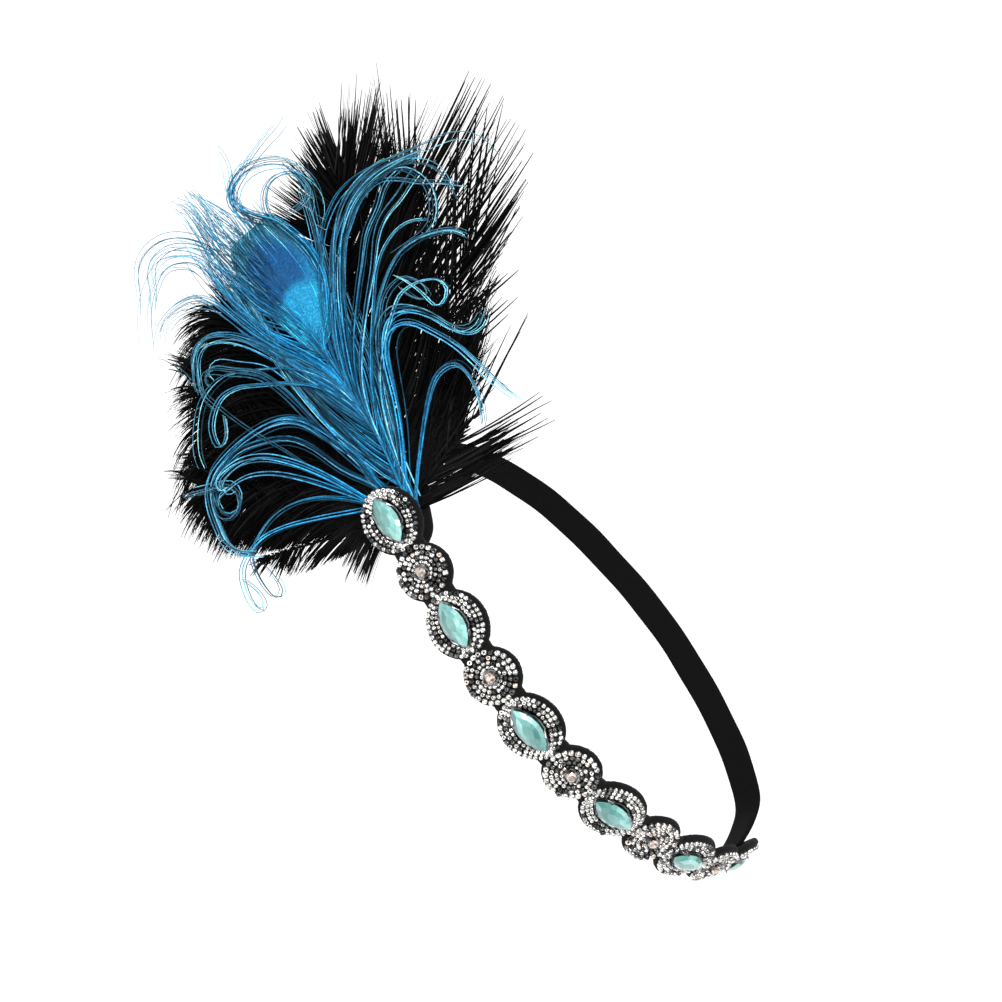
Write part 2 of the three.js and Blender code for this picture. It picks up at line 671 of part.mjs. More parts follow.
function addRhinestone(index, number) {
  const outline = roundOval(RHINESTONE_RADIUS, RHINESTONE_RADIUS, RHINESTONE_SIDES);
  const innerRadius = RHINESTONE_RADIUS + clawRoom + BED_GAP;
  const inner = roundOval(innerRadius, innerRadius, ROUND_SIDES);
  const outer = roundOval(ROUND_BED_RADIUS, ROUND_BED_RADIUS, ROUND_SIDES);
  const setting = makeSetting(index, roundTray, RHINESTONE_RADIUS + clawRoom, isRoundClaw);
  const stone = makeStone(index, outline, RHINESTONE_RISE, RHINESTONE_TABLE);
  addPiece(`rhinestone_setting_${number}`, setting, MATERIALS.metal);
  addPiece(`rhinestone_${number}`, stone, MATERIALS.crystal);
  addPiece(`round_bead_bed_${number}`, makeBeadBed(index, inner, outer), MATERIALS.beads);
}

for (let index = 0; index < MEDALLION_COUNT; index += 1) {
  const number = Math.floor(index / 2) + 1;
  const add = isMarquise(index) ? addMarquise : addRhinestone;
  add(index, number);
}

export default headband;
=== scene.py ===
import math

import bpy
import numpy as np
from mathutils import Matrix, Vector


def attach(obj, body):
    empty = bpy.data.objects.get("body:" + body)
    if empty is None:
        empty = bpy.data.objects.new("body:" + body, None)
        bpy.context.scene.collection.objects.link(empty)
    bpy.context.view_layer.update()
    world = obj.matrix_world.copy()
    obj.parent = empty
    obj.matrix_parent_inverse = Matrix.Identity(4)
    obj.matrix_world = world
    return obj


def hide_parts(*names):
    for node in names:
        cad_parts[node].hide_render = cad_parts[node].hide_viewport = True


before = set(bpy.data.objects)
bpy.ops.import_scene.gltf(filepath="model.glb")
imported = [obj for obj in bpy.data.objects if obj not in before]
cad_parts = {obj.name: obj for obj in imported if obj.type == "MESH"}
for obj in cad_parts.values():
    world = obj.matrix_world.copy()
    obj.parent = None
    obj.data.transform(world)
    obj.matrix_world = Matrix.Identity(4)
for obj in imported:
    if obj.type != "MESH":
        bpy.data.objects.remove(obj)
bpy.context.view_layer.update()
rng = np.random.default_rng(1926)

# Lengths are millimetres in the tables and functions, and metres once a mesh is made
MM = 0.001
BODY = "root"

# Sizes shared with the solid model
LOOP_HALF_LENGTH = 82.9
LOOP_HALF_WIDTH = 71.9
LOOP_FRONT_ANGLE = 270.0
ELLIPSE_STEPS = 7201
MEDALLION_PITCH = 18.4
MEDALLION_COUNT = 11
FRONT_MEDALLION = 6
CURVE_START_MEDALLION = 2
FELT_THICKNESS = 2.0
FELT_INNER = -4.2
FELT_OUTER = FELT_INNER + FELT_THICKNESS
FELT_BORDER = 0.7
FELT_NECK_HALF = 5.2
FELT_TIP_HALF = 1.6
PLUME_END_DROP = 3.6
PLAIN_END_DROP = 1.6
LEVEL_MEDALLIONS = 2
DROP_POWER = 1.2
GAP = 0.3
JEWEL_BASE = FELT_OUTER + GAP
STONE_HALF_LENGTH = 7.5
STONE_HALF_WIDTH = 3.5
RHINESTONE_RADIUS = 1.7
OVAL_BED_HALF_LENGTH = 10.0
OVAL_BED_HALF_WIDTH = 8.85
ROUND_BED_RADIUS = 8.15
CLAW_ROOM = GAP + 0.35
BLUE_MIDDLE = -5.1
BLACK_MIDDLE = -7.2
PATCH_OUTER = -8.7
PATCH_THICKNESS = 1.5
PATCH_HALF_LENGTH = 10.4
PATCH_HALF_WIDTH = 9.5
ELASTIC_WIDTH = 10.0
ELASTIC_THICKNESS = 1.2
ELASTIC_DROP = 3.5
FAN_START = 13.0
FAN_REACH = 62.0
BLUE_LIFT = 9.0


# The loop and the strip

def ellipse_table():
    turn = np.linspace(LOOP_FRONT_ANGLE - 180.0, LOOP_FRONT_ANGLE + 180.0, ELLIPSE_STEPS)
    angles = np.radians(turn)
    speed = np.hypot(LOOP_HALF_LENGTH * np.sin(angles), LOOP_HALF_WIDTH * np.cos(angles))
    length = np.concatenate([[0.0], np.cumsum(0.5 * (speed[1:] + speed[:-1]) * np.diff(angles))])
    return angles, length - np.interp(math.radians(LOOP_FRONT_ANGLE), angles, length)


ELLIPSE_ANGLES, ELLIPSE_LENGTHS = ellipse_table()
CURVE_START = (CURVE_START_MEDALLION - FRONT_MEDALLION) * MEDALLION_PITCH


def strip_height(distance):
    middle = ((MEDALLION_COUNT - 1) / 2 - FRONT_MEDALLION) * MEDALLION_PITCH
    level = LEVEL_MEDALLIONS * MEDALLION_PITCH
    reach = (MEDALLION_COUNT - 1) / 2 * MEDALLION_PITCH - level
    share = np.maximum(0.0, np.abs(distance - middle) - level) / reach
    drop = np.where(distance < middle, PLUME_END_DROP, PLAIN_END_DROP)
    return -drop * share ** DROP_POWER


def loop_frame(distance):
    distance = np.asarray(distance, float)
    on_curve = np.maximum(distance, CURVE_START)
    angle = np.interp(on_curve, ELLIPSE_LENGTHS, ELLIPSE_ANGLES)
    c, s = np.cos(angle), np.sin(angle)
    zero = np.zeros_like(c)
    along = np.stack([-LOOP_HALF_LENGTH * s, LOOP_HALF_WIDTH * c, zero], -1)
    along /= np.linalg.norm(along, axis=-1, keepdims=True)
    outward = np.stack([along[..., 1], -along[..., 0], zero], -1)
    origin = np.stack([LOOP_HALF_LENGTH * c, LOOP_HALF_WIDTH * s, zero], -1)
    origin = origin + along * (distance - on_curve)[..., None]
    return origin, along, outward


def bend(distance, height, out):
    origin, _, outward = loop_frame(distance)
    points = origin + outward * np.asarray(out, float)[..., None]
    points[..., 2] = strip_height(np.asarray(distance, float)) + height
    return points


def medallion_distance(index):
    return (index - FRONT_MEDALLION) * MEDALLION_PITCH


# Plume plane: t away from the strip, z up, out towards the front of the strip

HUB_ORIGIN, HUB_ALONG, HUB_OUTWARD = loop_frame(medallion_distance(0))
HUB_HEIGHT = float(strip_height(medallion_distance(0)))


def plume_point(t, z, out):
    t, z, out = np.broadcast_arrays(t, z, out)
    points = HUB_ORIGIN - t[..., None] * HUB_ALONG + out[..., None] * HUB_OUTWARD
    points[..., 2] = z
    return points


def fan_share(t, z):
    share = np.clip((np.hypot(t, z) - FAN_START) / FAN_REACH, 0.0, 1.0)
    return share ** 3 * (share * (share * 6 - 15) + 10)


# From the photograph's pixels to the plume plane

CAMERA_PLACE = (-325.97, -469.53, 228.96)
CAMERA_RIGHT = (0.6646, -0.0350, 0.7463)
CAMERA_DOWN = (0.5936, -0.5819, -0.5559)
CAMERA_LENS = 70.41
SENSOR_WIDTH = 36.0
PHOTO_WIDTH = 1002
PHOTO_MIDDLE = PHOTO_WIDTH / 2
SIGHT_STEPS = 8
BLACK_USUAL_LIFT = 3.0
TRESS_LIFT = 0.9
EXTRA_ONSET = 3


def camera_axes():
    right = np.array(CAMERA_RIGHT) / np.linalg.norm(CAMERA_RIGHT)
    up = -np.array(CAMERA_DOWN)
    up = up - right * (up @ right)
    up /= np.linalg.norm(up)
    return right, up, np.cross(right, up)


def photo_to_plume(x, y, middle, lift, extra=0.0):
    """Where the sight line through a pixel meets a feather lying at this depth in the plume."""
    right, up, back = camera_axes()
    focal = CAMERA_LENS / SENSOR_WIDTH * PHOTO_WIDTH
    ray = right * (x - PHOTO_MIDDLE) / focal - up * (y - PHOTO_MIDDLE) / focal - back
    out = middle
    for _ in range(SIGHT_STEPS):
        gap = (HUB_ORIGIN + HUB_OUTWARD * out - CAMERA_PLACE) @ HUB_OUTWARD
        point = CAMERA_PLACE + ray * gap / (ray @ HUB_OUTWARD)
        t = -(point - HUB_ORIGIN) @ HUB_ALONG
        fan = fan_share(t, point[2])
        out = middle + lift * fan + extra * min(1.0, fan * EXTRA_ONSET)
    return t, point[2]


# Meshes from arrays

TINY = 1e-9
STRAND_CORNERS = (math.pi / 2, math.pi * 7 / 6, math.pi * 11 / 6)


def mesh_object(name, vertices, faces, smooth=True, tint=None, uv=None):
    """vertices in millimetres, faces a list of arrays with three or four corners a row."""
    mesh = bpy.data.meshes.new(name)
    vertices = np.asarray(vertices, np.float32).reshape(-1, 3) * MM
    faces = [np.asarray(f, np.int32) for f in faces if len(f)]
    corners = np.concatenate([f.ravel() for f in faces])
    sizes = np.concatenate([np.full(len(f), f.shape[1], np.int32) for f in faces])
    mesh.vertices.add(len(vertices))
    mesh.vertices.foreach_set("co", vertices.ravel())
    mesh.loops.add(len(corners))
    mesh.loops.foreach_set("vertex_index", corners)
    mesh.polygons.add(len(sizes))
    mesh.polygons.foreach_set("loop_start", np.concatenate([[0], np.cumsum(sizes)[:-1]]).astype(np.int32))
    mesh.polygons.foreach_set("use_smooth", np.full(len(sizes), smooth))
    if tint is not None:
        attribute = mesh.color_attributes.new("tint", "FLOAT_COLOR", "POINT")
        rgba = np.concatenate([tint, np.ones((len(tint), 1))], 1).astype(np.float32)
        attribute.data.foreach_set("color", rgba.ravel())
    if uv is not None:
        layer = mesh.uv_layers.new(name="flow")
        layer.data.foreach_set("uv", np.asarray(uv, np.float32)[corners].ravel())
    mesh.update(calc_edges=True)
    mesh.validate()
    thing = bpy.data.objects.new(name, mesh)
    bpy.context.scene.collection.objects.link(thing)
    return thing


def tube_faces(rings, size, closed=False):
    """Quads between rings of the same size."""
    count = rings if closed else rings - 1
    k = np.arange(count)[:, None]
    i = np.arange(size)[None, :]
    a = k * size + i
    b = k * size + (i + 1) % size
    ahead = ((k + 1) % rings) * size
    quads = np.stack([a, b, ahead + (i + 1) % size, ahead + i], -1).reshape(-1, 4)
    return quads


def fan_cap(first, size, flip):
    i = np.arange(1, size - 1)
    cap = np.stack([np.full(size - 2, first), first + i, first + i + 1], 1)
    return cap[:, ::-1] if flip else cap


def loft_object(name, rings, closed=False, smooth=True, tint=None, uv=None):
    rings = np.asarray(rings, float)
    count, size = rings.shape[:2]
    faces = [tube_faces(count, size, closed)[:, ::-1]]
    if not closed:
        faces += [fan_cap(0, size, False), fan_cap((count - 1) * size, size, True)]
    return mesh_object(name, rings.reshape(-1, 3), faces, smooth, tint, uv)


def strand_object(name, paths, widths, depths, tint, normal):
    """Three-sided strands along paths (n, k, 3), tapering by widths and depths (n, k)."""
    n, k = paths.shape[:2]
    tangent = np.gradient(paths, axis=1)
    tangent /= np.linalg.norm(tangent, axis=-1, keepdims=True) + TINY
    side = np.cross(tangent, normal)
    side /= np.linalg.norm(side, axis=-1, keepdims=True) + TINY
    up = np.cross(side, tangent)
    rings = []
    for turn in STRAND_CORNERS:
        offset = side * (math.cos(turn) * widths[..., None]) + up * (math.sin(turn) * depths[..., None])
        rings.append(paths + offset)
    vertices = np.stack(rings, 2)
    base = (np.arange(n) * k * 3)[:, None, None]
    quads = tube_faces(k, 3)[None] + base
    ends = np.stack([fan_cap(0, 3, True), fan_cap((k - 1) * 3, 3, False)], 0).reshape(1, 2, 3) + base
    colours = np.repeat(tint[:, :, None, :], 3, axis=2).reshape(-1, 3)
    faces = [quads.reshape(-1, 4), ends.reshape(-1, 3)]
    return mesh_object(name, vertices.reshape(-1, 3), faces, True, colours)


# Materials

FELT_DARK = (0.002, 0.002, 0.0022)
FELT_LIGHT = (0.012, 0.012, 0.013)
FELT_EVEN = (0.006, 0.006, 0.0065)
ELASTIC_DARK = (0.002, 0.002, 0.0022)
ELASTIC_LIGHT = (0.008, 0.008, 0.0085)
ELASTIC_EVEN = (0.005, 0.005, 0.0053)
SILVER_TARNISHED = (0.1, 0.1, 0.1)
SILVER_BRIGHT = (0.4, 0.4, 0.41)
BEAD_SHADES = [(0.3, (0.75, 0.75, 0.75)), (0.7, (1.2, 1.2, 1.2))]
# Painted reflection and shade on the stones' facets: each facet lighter or darker by the way it faces
STONE_PAINTED_FACET_LIGHT = [(0.32, (0.5, 0.56, 0.56)), (0.5, (0.95, 0.95, 0.95)), (0.66, (1.9, 1.5, 1.5))]


def new_material(name):
    material = bpy.data.materials.new(name)
    material.use_nodes = True
    tree = material.node_tree
    shader = tree.nodes["Principled BSDF"]
    return material, tree, shader


def add_node(tree, kind, **settings):
    node = tree.nodes.new(kind)
    for key, value in settings.items():
        if key in node.inputs:
            node.inputs[key].default_value = value
        else:
            setattr(node, key, value)
    return node


def coordinates(tree, kind="Object"):
    return add_node(tree, "ShaderNodeTexCoord").outputs[kind]


def noise(tree, vector, scale, detail=3.0, roughness=0.6):
    node = add_node(tree, "ShaderNodeTexNoise", Scale=scale, Detail=detail, Roughness=roughness)
    tree.links.new(vector, node.inputs["Vector"])
    return node.outputs["Fac"]


def ramp(tree, factor, stops):
    node = add_node(tree, "ShaderNodeValToRGB")
    elements = node.color_ramp.elements
    while len(elements) < len(stops):
        elements.new(0.5)
    for element, (place, colour) in zip(elements, stops):
        element.position = place
        element.color = (*colour, 1.0)
    tree.links.new(factor, node.inputs["Fac"])
    return node.outputs["Color"]


def mix_colours(tree, factor, first, second, blend="MIX"):
    node = add_node(tree, "ShaderNodeMix", data_type="RGBA", blend_type=blend)
    for socket, value in ((node.inputs[0], factor), (node.inputs[6], first), (node.inputs[7], second)):
        if isinstance(value, bpy.types.NodeSocket):
            tree.links.new(value, socket)
        elif isinstance(value, tuple):
            socket.default_value = (*value, 1.0)
        else:
            socket.default_value = value
    return node.outputs[2]


def add_bump(tree, shader, height, strength, distance):
    bump = add_node(tree, "ShaderNodeBump", Strength=strength, Distance=distance)
    tree.links.new(height, bump.inputs["Height"])
    tree.links.new(bump.outputs["Normal"], shader.inputs["Normal"])


def rough_between(tree, shader, factor, low, high):
    node = add_node(tree, "ShaderNodeMapRange")
    node.inputs["To Min"].default_value = low
    node.inputs["To Max"].default_value = high
    tree.links.new(factor, node.inputs["Value"])
    tree.links.new(node.outputs["Result"], shader.inputs["Roughness"])


def felt_material():
    material, tree, shader = new_material("black_felt")
    place = coordinates(tree)
    fibres = noise(tree, place, scale=2600.0, detail=5.0, roughness=0.75)
    patches = noise(tree, place, scale=220.0)
    colour = ramp(tree, fibres, [(0.3, FELT_DARK), (0.75, FELT_LIGHT)])
    colour = mix_colours(tree, patches, colour, FELT_EVEN)
    tree.links.new(colour, shader.inputs["Base Color"])
    shader.inputs["Specular IOR Level"].default_value = 0.08
    shader.inputs["Sheen Weight"].default_value = 0.05
    shader.inputs["Sheen Roughness"].default_value = 0.5
    rough_between(tree, shader, fibres, low=0.8, high=1.0)
    add_bump(tree, shader, fibres, strength=0.8, distance=0.0004)
    return material


def elastic_material():
    material, tree, shader = new_material("black_elastic")
    flow = coordinates(tree, "UV")
    ribs = add_node(tree, "ShaderNodeTexWave", Scale=1.0, Distortion=0.6, wave_type="BANDS")
    ribs.bands_direction = "Y"
    ribs.inputs["Detail"].default_value = 1.5
    ribs.inputs["Detail Scale"].default_value = 2.0
    tree.links.new(flow, ribs.inputs["Vector"])
    weave = add_node(tree, "ShaderNodeTexWave", Scale=1.6, Distortion=0.3, wave_type="BANDS")
    weave.bands_direction = "X"
    tree.links.new(flow, weave.inputs["Vector"])
    cloth = mix_colours(tree, 0.45, ribs.outputs["Color"], weave.outputs["Color"])
    wear = noise(tree, coordinates(tree), scale=180.0, detail=4.0)
    colour = ramp(tree, cloth, [(0.0, ELASTIC_DARK), (1.0, ELASTIC_LIGHT)])
    colour = mix_colours(tree, wear, colour, ELASTIC_EVEN)
    tree.links.new(colour, shader.inputs["Base Color"])
    shader.inputs["Specular IOR Level"].default_value = 0.03
    rough_between(tree, shader, wear, low=0.75, high=0.95)
    add_bump(tree, shader, cloth, strength=0.35, distance=0.00012)
    return material


def feather_material(name, roughness, gloss, spread, speckle):
    material, tree, shader = new_material(name)
    tint = add_node(tree, "ShaderNodeVertexColor", layer_name="tint").outputs["Color"]
    grain = noise(tree, coordinates(tree), speckle, detail=2.0)
    dark = (1 - spread,) * 3
    light = (1 + 1.6 * spread,) * 3
    shade = ramp(tree, grain, [(0.35, dark), (0.5, (1.0, 1.0, 1.0)), (0.68, light)])
    colour = mix_colours(tree, 1.0, tint, shade, "MULTIPLY")
    tree.links.new(colour, shader.inputs["Base Color"])
    rough_between(tree, shader, grain, roughness - 0.1, roughness + 0.1)
    shader.inputs["Specular IOR Level"].default_value = gloss
    add_bump(tree, shader, grain, strength=0.3, distance=0.0001)
    return material


def bead_material():
    material, tree, shader = new_material("seed_bead_glass")
    tint = add_node(tree, "ShaderNodeVertexColor", layer_name="tint").outputs["Color"]
    specks = noise(tree, coordinates(tree), scale=1500.0, detail=2.0)
    shade = ramp(tree, specks, BEAD_SHADES)
    tree.links.new(mix_colours(tree, 1.0, tint, shade, "MULTIPLY"), shader.inputs["Base Color"])
    shader.inputs["Metallic"].default_value = 0.85
    rough_between(tree, shader, specks, low=0.1, high=0.24)
    shader.inputs["Coat Weight"].default_value = 0.6
    shader.inputs["Coat Roughness"].default_value = 0.05
    return material


def stone_material(name, deep, pale, milk, scale, foil=0.0):
    material, tree, shader = new_material(name)
    place = coordinates(tree)
    cloud = noise(tree, place, scale)
    colour = ramp(tree, cloud, [(0.25, deep), (0.75, pale)])
    # Painted reflection and shade: each facet's colour made lighter or darker by its normal
    facet = add_node(tree, "ShaderNodeNewGeometry").outputs["True Normal"]
    facet = noise(tree, facet, scale=2.2, detail=0.0)
    shade = ramp(tree, facet, STONE_PAINTED_FACET_LIGHT)
    colour = mix_colours(tree, 1.0, colour, shade, "MULTIPLY")
    tree.links.new(colour, shader.inputs["Base Color"])
    rough_between(tree, shader, cloud, low=0.04, high=0.12)
    shader.inputs["IOR"].default_value = 1.6
    shader.inputs["Metallic"].default_value = foil
    shader.inputs["Subsurface Weight"].default_value = milk
    shader.inputs["Subsurface Scale"].default_value = 0.002
    shader.inputs["Coat Weight"].default_value = 0.8
    shader.inputs["Coat Roughness"].default_value = 0.03
    return material


def metal_material():
    material, tree, shader = new_material("setting_silver")
    tarnish = noise(tree, coordinates(tree), scale=900.0, detail=4.0)
    colour = ramp(tree, tarnish, [(0.3, SILVER_TARNISHED), (0.65, SILVER_BRIGHT)])
    tree.links.new(colour, shader.inputs["Base Color"])
    shader.inputs["Metallic"].default_value = 1.0
    rough_between(tree, shader, tarnish, low=0.18, high=0.35)
    return material


FELT = felt_material()
ELASTIC = elastic_material()
BLACK_FEATHER = feather_material("black_feather", roughness=0.62, gloss=0.04, spread=0.3, speckle=2500.0)
BLUE_FEATHER = feather_material("blue_feather", roughness=0.5, gloss=0.18, spread=0.3, speckle=1500.0)
BEADS = bead_material()
TURQUOISE = stone_material(
    "turquoise_stone", deep=(0.09, 0.31, 0.29), pale=(0.23, 0.48, 0.45), milk=0.1, scale=260.0)
CRYSTAL = stone_material(
    "pale_crystal", deep=(0.42, 0.33, 0.28), pale=(0.85, 0.76, 0.68), milk=0.0, scale=900.0, foil=0.75)
SILVER = metal_material()


def place_piece(thing, material, slot, *nodes):
    thing.data.materials.clear()
    thing.data.materials.append(material)
    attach(thing, BODY)
    if nodes:
        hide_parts(*nodes)
    return thing


# Felt strip and patch

FELT_STATIONS = 520
FELT_EDGE_WAVER = 0.05
FELT_FACE_WAVER = 0.02
FACE_SHARES = (0.6, 0.2, -0.2, -0.6)
PATCH_CORNERS = 72
# Rings over the patch: (share of its size, side of its middle plane)
PATCH_RINGS = ((0.02, -1), (0.5, -1), (0.93, -1), (1.0, -0.5), (1.0, 0.5), (0.93, 1), (0.5, 1), (0.02, 1))


def felt_half_width(distance):
    half = np.full_like(distance, FELT_NECK_HALF)
    for index in range(MEDALLION_COUNT):
        long = (OVAL_BED_HALF_LENGTH if index % 2 == 0 else ROUND_BED_RADIUS) + FELT_BORDER
        wide = (OVAL_BED_HALF_WIDTH if index % 2 == 0 else ROUND_BED_RADIUS) + FELT_BORDER
        reach = np.clip(np.abs(distance - medallion_distance(index)) / long, 0.0, 1.0)
        half = np.maximum(half, wide * np.sqrt(1.0 - reach ** 2))
    return half


def soft_edge_section(thickness, edge=0.55, steps=4):
    """A slab's section with rounded edges: (share across, depth, inset) rows, from -1 to 1 across."""
    turns = np.linspace(-math.pi / 2, math.pi / 2, steps + 1)
    right = [(1.0, math.sin(a) * (thickness / 2), -edge * (1 - math.cos(a))) for a in turns]
    top = [(share, thickness / 2, 0.0) for share in FACE_SHARES]
    left = [(-1.0, -math.sin(a) * (thickness / 2), -edge * (1 - math.cos(a))) for a in turns]
    bottom = [(-share, -thickness / 2, 0.0) for share in FACE_SHARES]
    return np.array(right + top + left + bottom)


def make_felt():
    end = OVAL_BED_HALF_LENGTH + FELT_BORDER
    first = medallion_distance(0) - end
    last = medallion_distance(MEDALLION_COUNT - 1) + end
    distance = np.linspace(first, last, FELT_STATIONS)
    tip = np.minimum(distance - first, last - distance)
    ending = np.sqrt(np.clip(1 - (1 - np.clip(tip / end, 0, 1)) ** 2, 0, 1))
    limit = np.maximum(FELT_TIP_HALF, (OVAL_BED_HALF_WIDTH + FELT_BORDER) * ending)
    half = np.where(tip < end, np.minimum(felt_half_width(distance), limit), felt_half_width(distance))
    half = half + rng.normal(0.0, FELT_EDGE_WAVER, len(distance))
    section = soft_edge_section(FELT_THICKNESS)
    middle = (FELT_INNER + FELT_OUTER) / 2
    height = section[None, :, 0] * (half[:, None] + section[None, :, 2])
    out = np.broadcast_to(middle + section[None, :, 1], height.shape)
    out = out + rng.normal(0, FELT_FACE_WAVER, height.shape)
    along = np.broadcast_to(distance[:, None], height.shape)
    felt = loft_object("felt_strip", bend(along, height, out))
    return place_piece(felt, FELT, "felt", "felt_backing")


def make_patch():
    turns = np.linspace(0, 2 * math.pi, PATCH_CORNERS, endpoint=False)
    wobble = 1 + 0.015 * np.sin(5 * turns + 1.0) + 0.01 * np.sin(9 * turns)
    rings = []
    for scale, rise in PATCH_RINGS:
        out = PATCH_OUTER - PATCH_THICKNESS / 2 + rise * PATCH_THICKNESS / 2
        t = PATCH_HALF_LENGTH * scale * wobble * np.cos(turns)
        z = HUB_HEIGHT + PATCH_HALF_WIDTH * scale * wobble * np.sin(turns)
        rings.append(plume_point(t, z, out))
    patch = loft_object("felt_patch", rings)
    return place_piece(patch, FELT, "felt", "plume_patch")


# Elastic

CURVE_STEPS = 24
ELASTIC_STATIONS = 420
ELASTIC_EDGE = 0.25
# Where it is sewn on: shares of the felt's end, and millimetres from the hub
ELASTIC_SEWN_FRONT = (-0.6, 0.2, 1.0)
ELASTIC_SEWN_BACK = (4.0, 0.0, -4.0, -8.0)
ELASTIC_FREE_ANGLES = range(358, 523, 15)
# Slow waves along it: (height, millimetres to a turn of one radian, start)
ELASTIC_WAVES = ((0.12, 9.0, 0.0), (0.08, 3.7, 1.0))
ELASTIC_SWELL = (0.05, 5.0)


def catmull(points, count):
    points = np.asarray(points, float)
    padded = np.vstack([2 * points[0] - points[1], points, 2 * points[-1] - points[-2]])
    out = []
    for i in range(1, len(padded) - 2):
        p0, p1, p2, p3 = padded[i - 1:i + 3]
        t0, t1 = 0.0, np.linalg.norm(p1 - p0) ** 0.5
        t2 = t1 + np.linalg.norm(p2 - p1) ** 0.5
        t3 = t2 + np.linalg.norm(p3 - p2) ** 0.5
        t = np.linspace(t1, t2, CURVE_STEPS, endpoint=False)[:, None]
        a1 = (t1 - t) / (t1 - t0) * p0 + (t - t0) / (t1 - t0) * p1
        a2 = (t2 - t) / (t2 - t1) * p1 + (t - t1) / (t2 - t1) * p2
        a3 = (t3 - t) / (t3 - t2) * p2 + (t - t2) / (t3 - t2) * p3
        b1 = (t2 - t) / (t2 - t0) * a1 + (t - t0) / (t2 - t0) * a2
        b2 = (t3 - t) / (t3 - t1) * a2 + (t - t1) / (t3 - t1) * a3
        out.append((t2 - t) / (t2 - t1) * b1 + (t - t1) / (t2 - t1) * b2)
    curve = np.vstack(out + [points[-1:]])
    length = np.concatenate([[0], np.cumsum(np.linalg.norm(np.diff(curve, axis=0), axis=1))])
    even = np.linspace(0, length[-1], count)
    return np.stack([np.interp(even, length, curve[:, i]) for i in range(3)], 1), even


def ellipse_point(degrees):
    angle = math.radians(degrees)
    return np.array([LOOP_HALF_LENGTH * math.cos(angle), LOOP_HALF_WIDTH * math.sin(angle), 0.0])


def make_elastic():
    last = medallion_distance(MEDALLION_COUNT - 1)
    felt_end = OVAL_BED_HALF_LENGTH + FELT_BORDER
    front_out = FELT_INNER - GAP - ELASTIC_THICKNESS / 2
    back_out = PATCH_OUTER - PATCH_THICKNESS - GAP - ELASTIC_THICKNESS / 2
    plan = [bend(last + share * felt_end, 0.0, front_out) for share in ELASTIC_SEWN_FRONT]
    plan += [ellipse_point(angle) for angle in ELASTIC_FREE_ANGLES]
    plan += [plume_point(t, 0.0, back_out) for t in ELASTIC_SEWN_BACK]
    plan = np.array(plan)
    plan[:, 2] = 0.0
    path, even = catmull(plan, ELASTIC_STATIONS)
    along = np.gradient(path, axis=0)
    along /= np.linalg.norm(along, axis=1, keepdims=True)
    side = np.stack([along[:, 1], -along[:, 0], np.zeros(len(along))], 1)
    section = soft_edge_section(ELASTIC_THICKNESS, ELASTIC_EDGE)
    wave = sum(height * np.sin(even / run + start) for height, run, start in ELASTIC_WAVES)
    half = ELASTIC_WIDTH / 2 + ELASTIC_SWELL[0] * np.sin(even / ELASTIC_SWELL[1])
    rings = path[:, None, :] + side[:, None, :] * section[None, :, 1:2]
    width = section[None, :, 0] * (half[:, None] + section[None, :, 2])
    rings[..., 2] = -ELASTIC_DROP + wave[:, None] + width
    across = section[:, 0] * ELASTIC_WIDTH / 2
    uv = np.stack(np.broadcast_arrays(even[:, None], across[None, :]), -1).reshape(-1, 2)
    band = loft_object("elastic_loop", rings, uv=uv)
    return place_piece(band, ELASTIC, "elastic", "elastic_band")


# Stones

LONG_STONE_CORNERS = 16
ROUND_STONE_CORNERS = 8
# Rings up each stone: (share of its size, height over its seat), and the round one's turn
LONG_STONE_LAYERS = ((0.5, 0.8), (1.0, 1.5), (1.0, 1.7), (0.72, 2.45), (0.36, 2.9))
ROUND_STONE_LAYERS = ((0.4, 0.8, 0), (1.0, 1.4, 0), (1.0, 1.55, 0), (0.75, 2.1, 0.5), (0.4, 2.5, 0))


def pointed_oval(half_length, half_width, count):
    radius = (half_length ** 2 + half_width ** 2) / (2 * half_width)
    reach = math.asin(half_length / radius)
    turn = np.arange(count) / count
    side = np.where(turn < 0.5, 1.0, -1.0)
    share = np.where(turn < 0.5, turn * 2, (turn - 0.5) * 2)
    sweep = reach * (1 - 2 * share)
    return side * radius * np.sin(sweep), side * (radius * np.cos(sweep) - (radius - half_width))


def on_medallion(index, u, w, out):
    distance = medallion_distance(index)
    origin, along, outward = loop_frame(distance)
    slope = float(strip_height(distance + 0.5) - strip_height(distance - 0.5))
    points = origin + u[..., None] * along + (JEWEL_BASE + out)[..., None] * outward
    points[..., 2] = float(strip_height(distance)) + slope * u + w
    return points


def make_stone(index, name, node, outline_of, layers, material, slot):
    rings = []
    for scale, rise, *turn in layers:
        u, w = outline_of(scale, *turn)
        rings.append(on_medallion(index, u, w, np.full_like(u, rise)))
    stone = loft_object(name, rings, smooth=False)
    return place_piece(stone, material, slot, node)


def long_outline(scale):
    return pointed_oval(STONE_HALF_LENGTH * scale, STONE_HALF_WIDTH * scale, LONG_STONE_CORNERS)


def round_outline(scale, turn):
    angle = (np.arange(ROUND_STONE_CORNERS) + turn) / ROUND_STONE_CORNERS * 2 * math.pi
    return RHINESTONE_RADIUS * scale * np.cos(angle), RHINESTONE_RADIUS * scale * np.sin(angle)


# Seed beads

BEAD_TINTS = np.array([
    [0.03, 0.03, 0.032],
    [0.13, 0.13, 0.13],
    [0.62, 0.61, 0.59],
    [1.0, 0.98, 0.95],
    [0.8, 0.7, 0.62],
])
OVAL_CHANCES = np.array([0.1, 0.2, 0.3, 0.4, 0.0])
ROUND_CHANCES = np.array([0.1, 0.18, 0.24, 0.38, 0.1])
OUTLINE_STEPS = 240
CIRCLE_STEPS = 120
BEAD_PITCH = 1.12
BEAD_CLEARANCE = 0.3
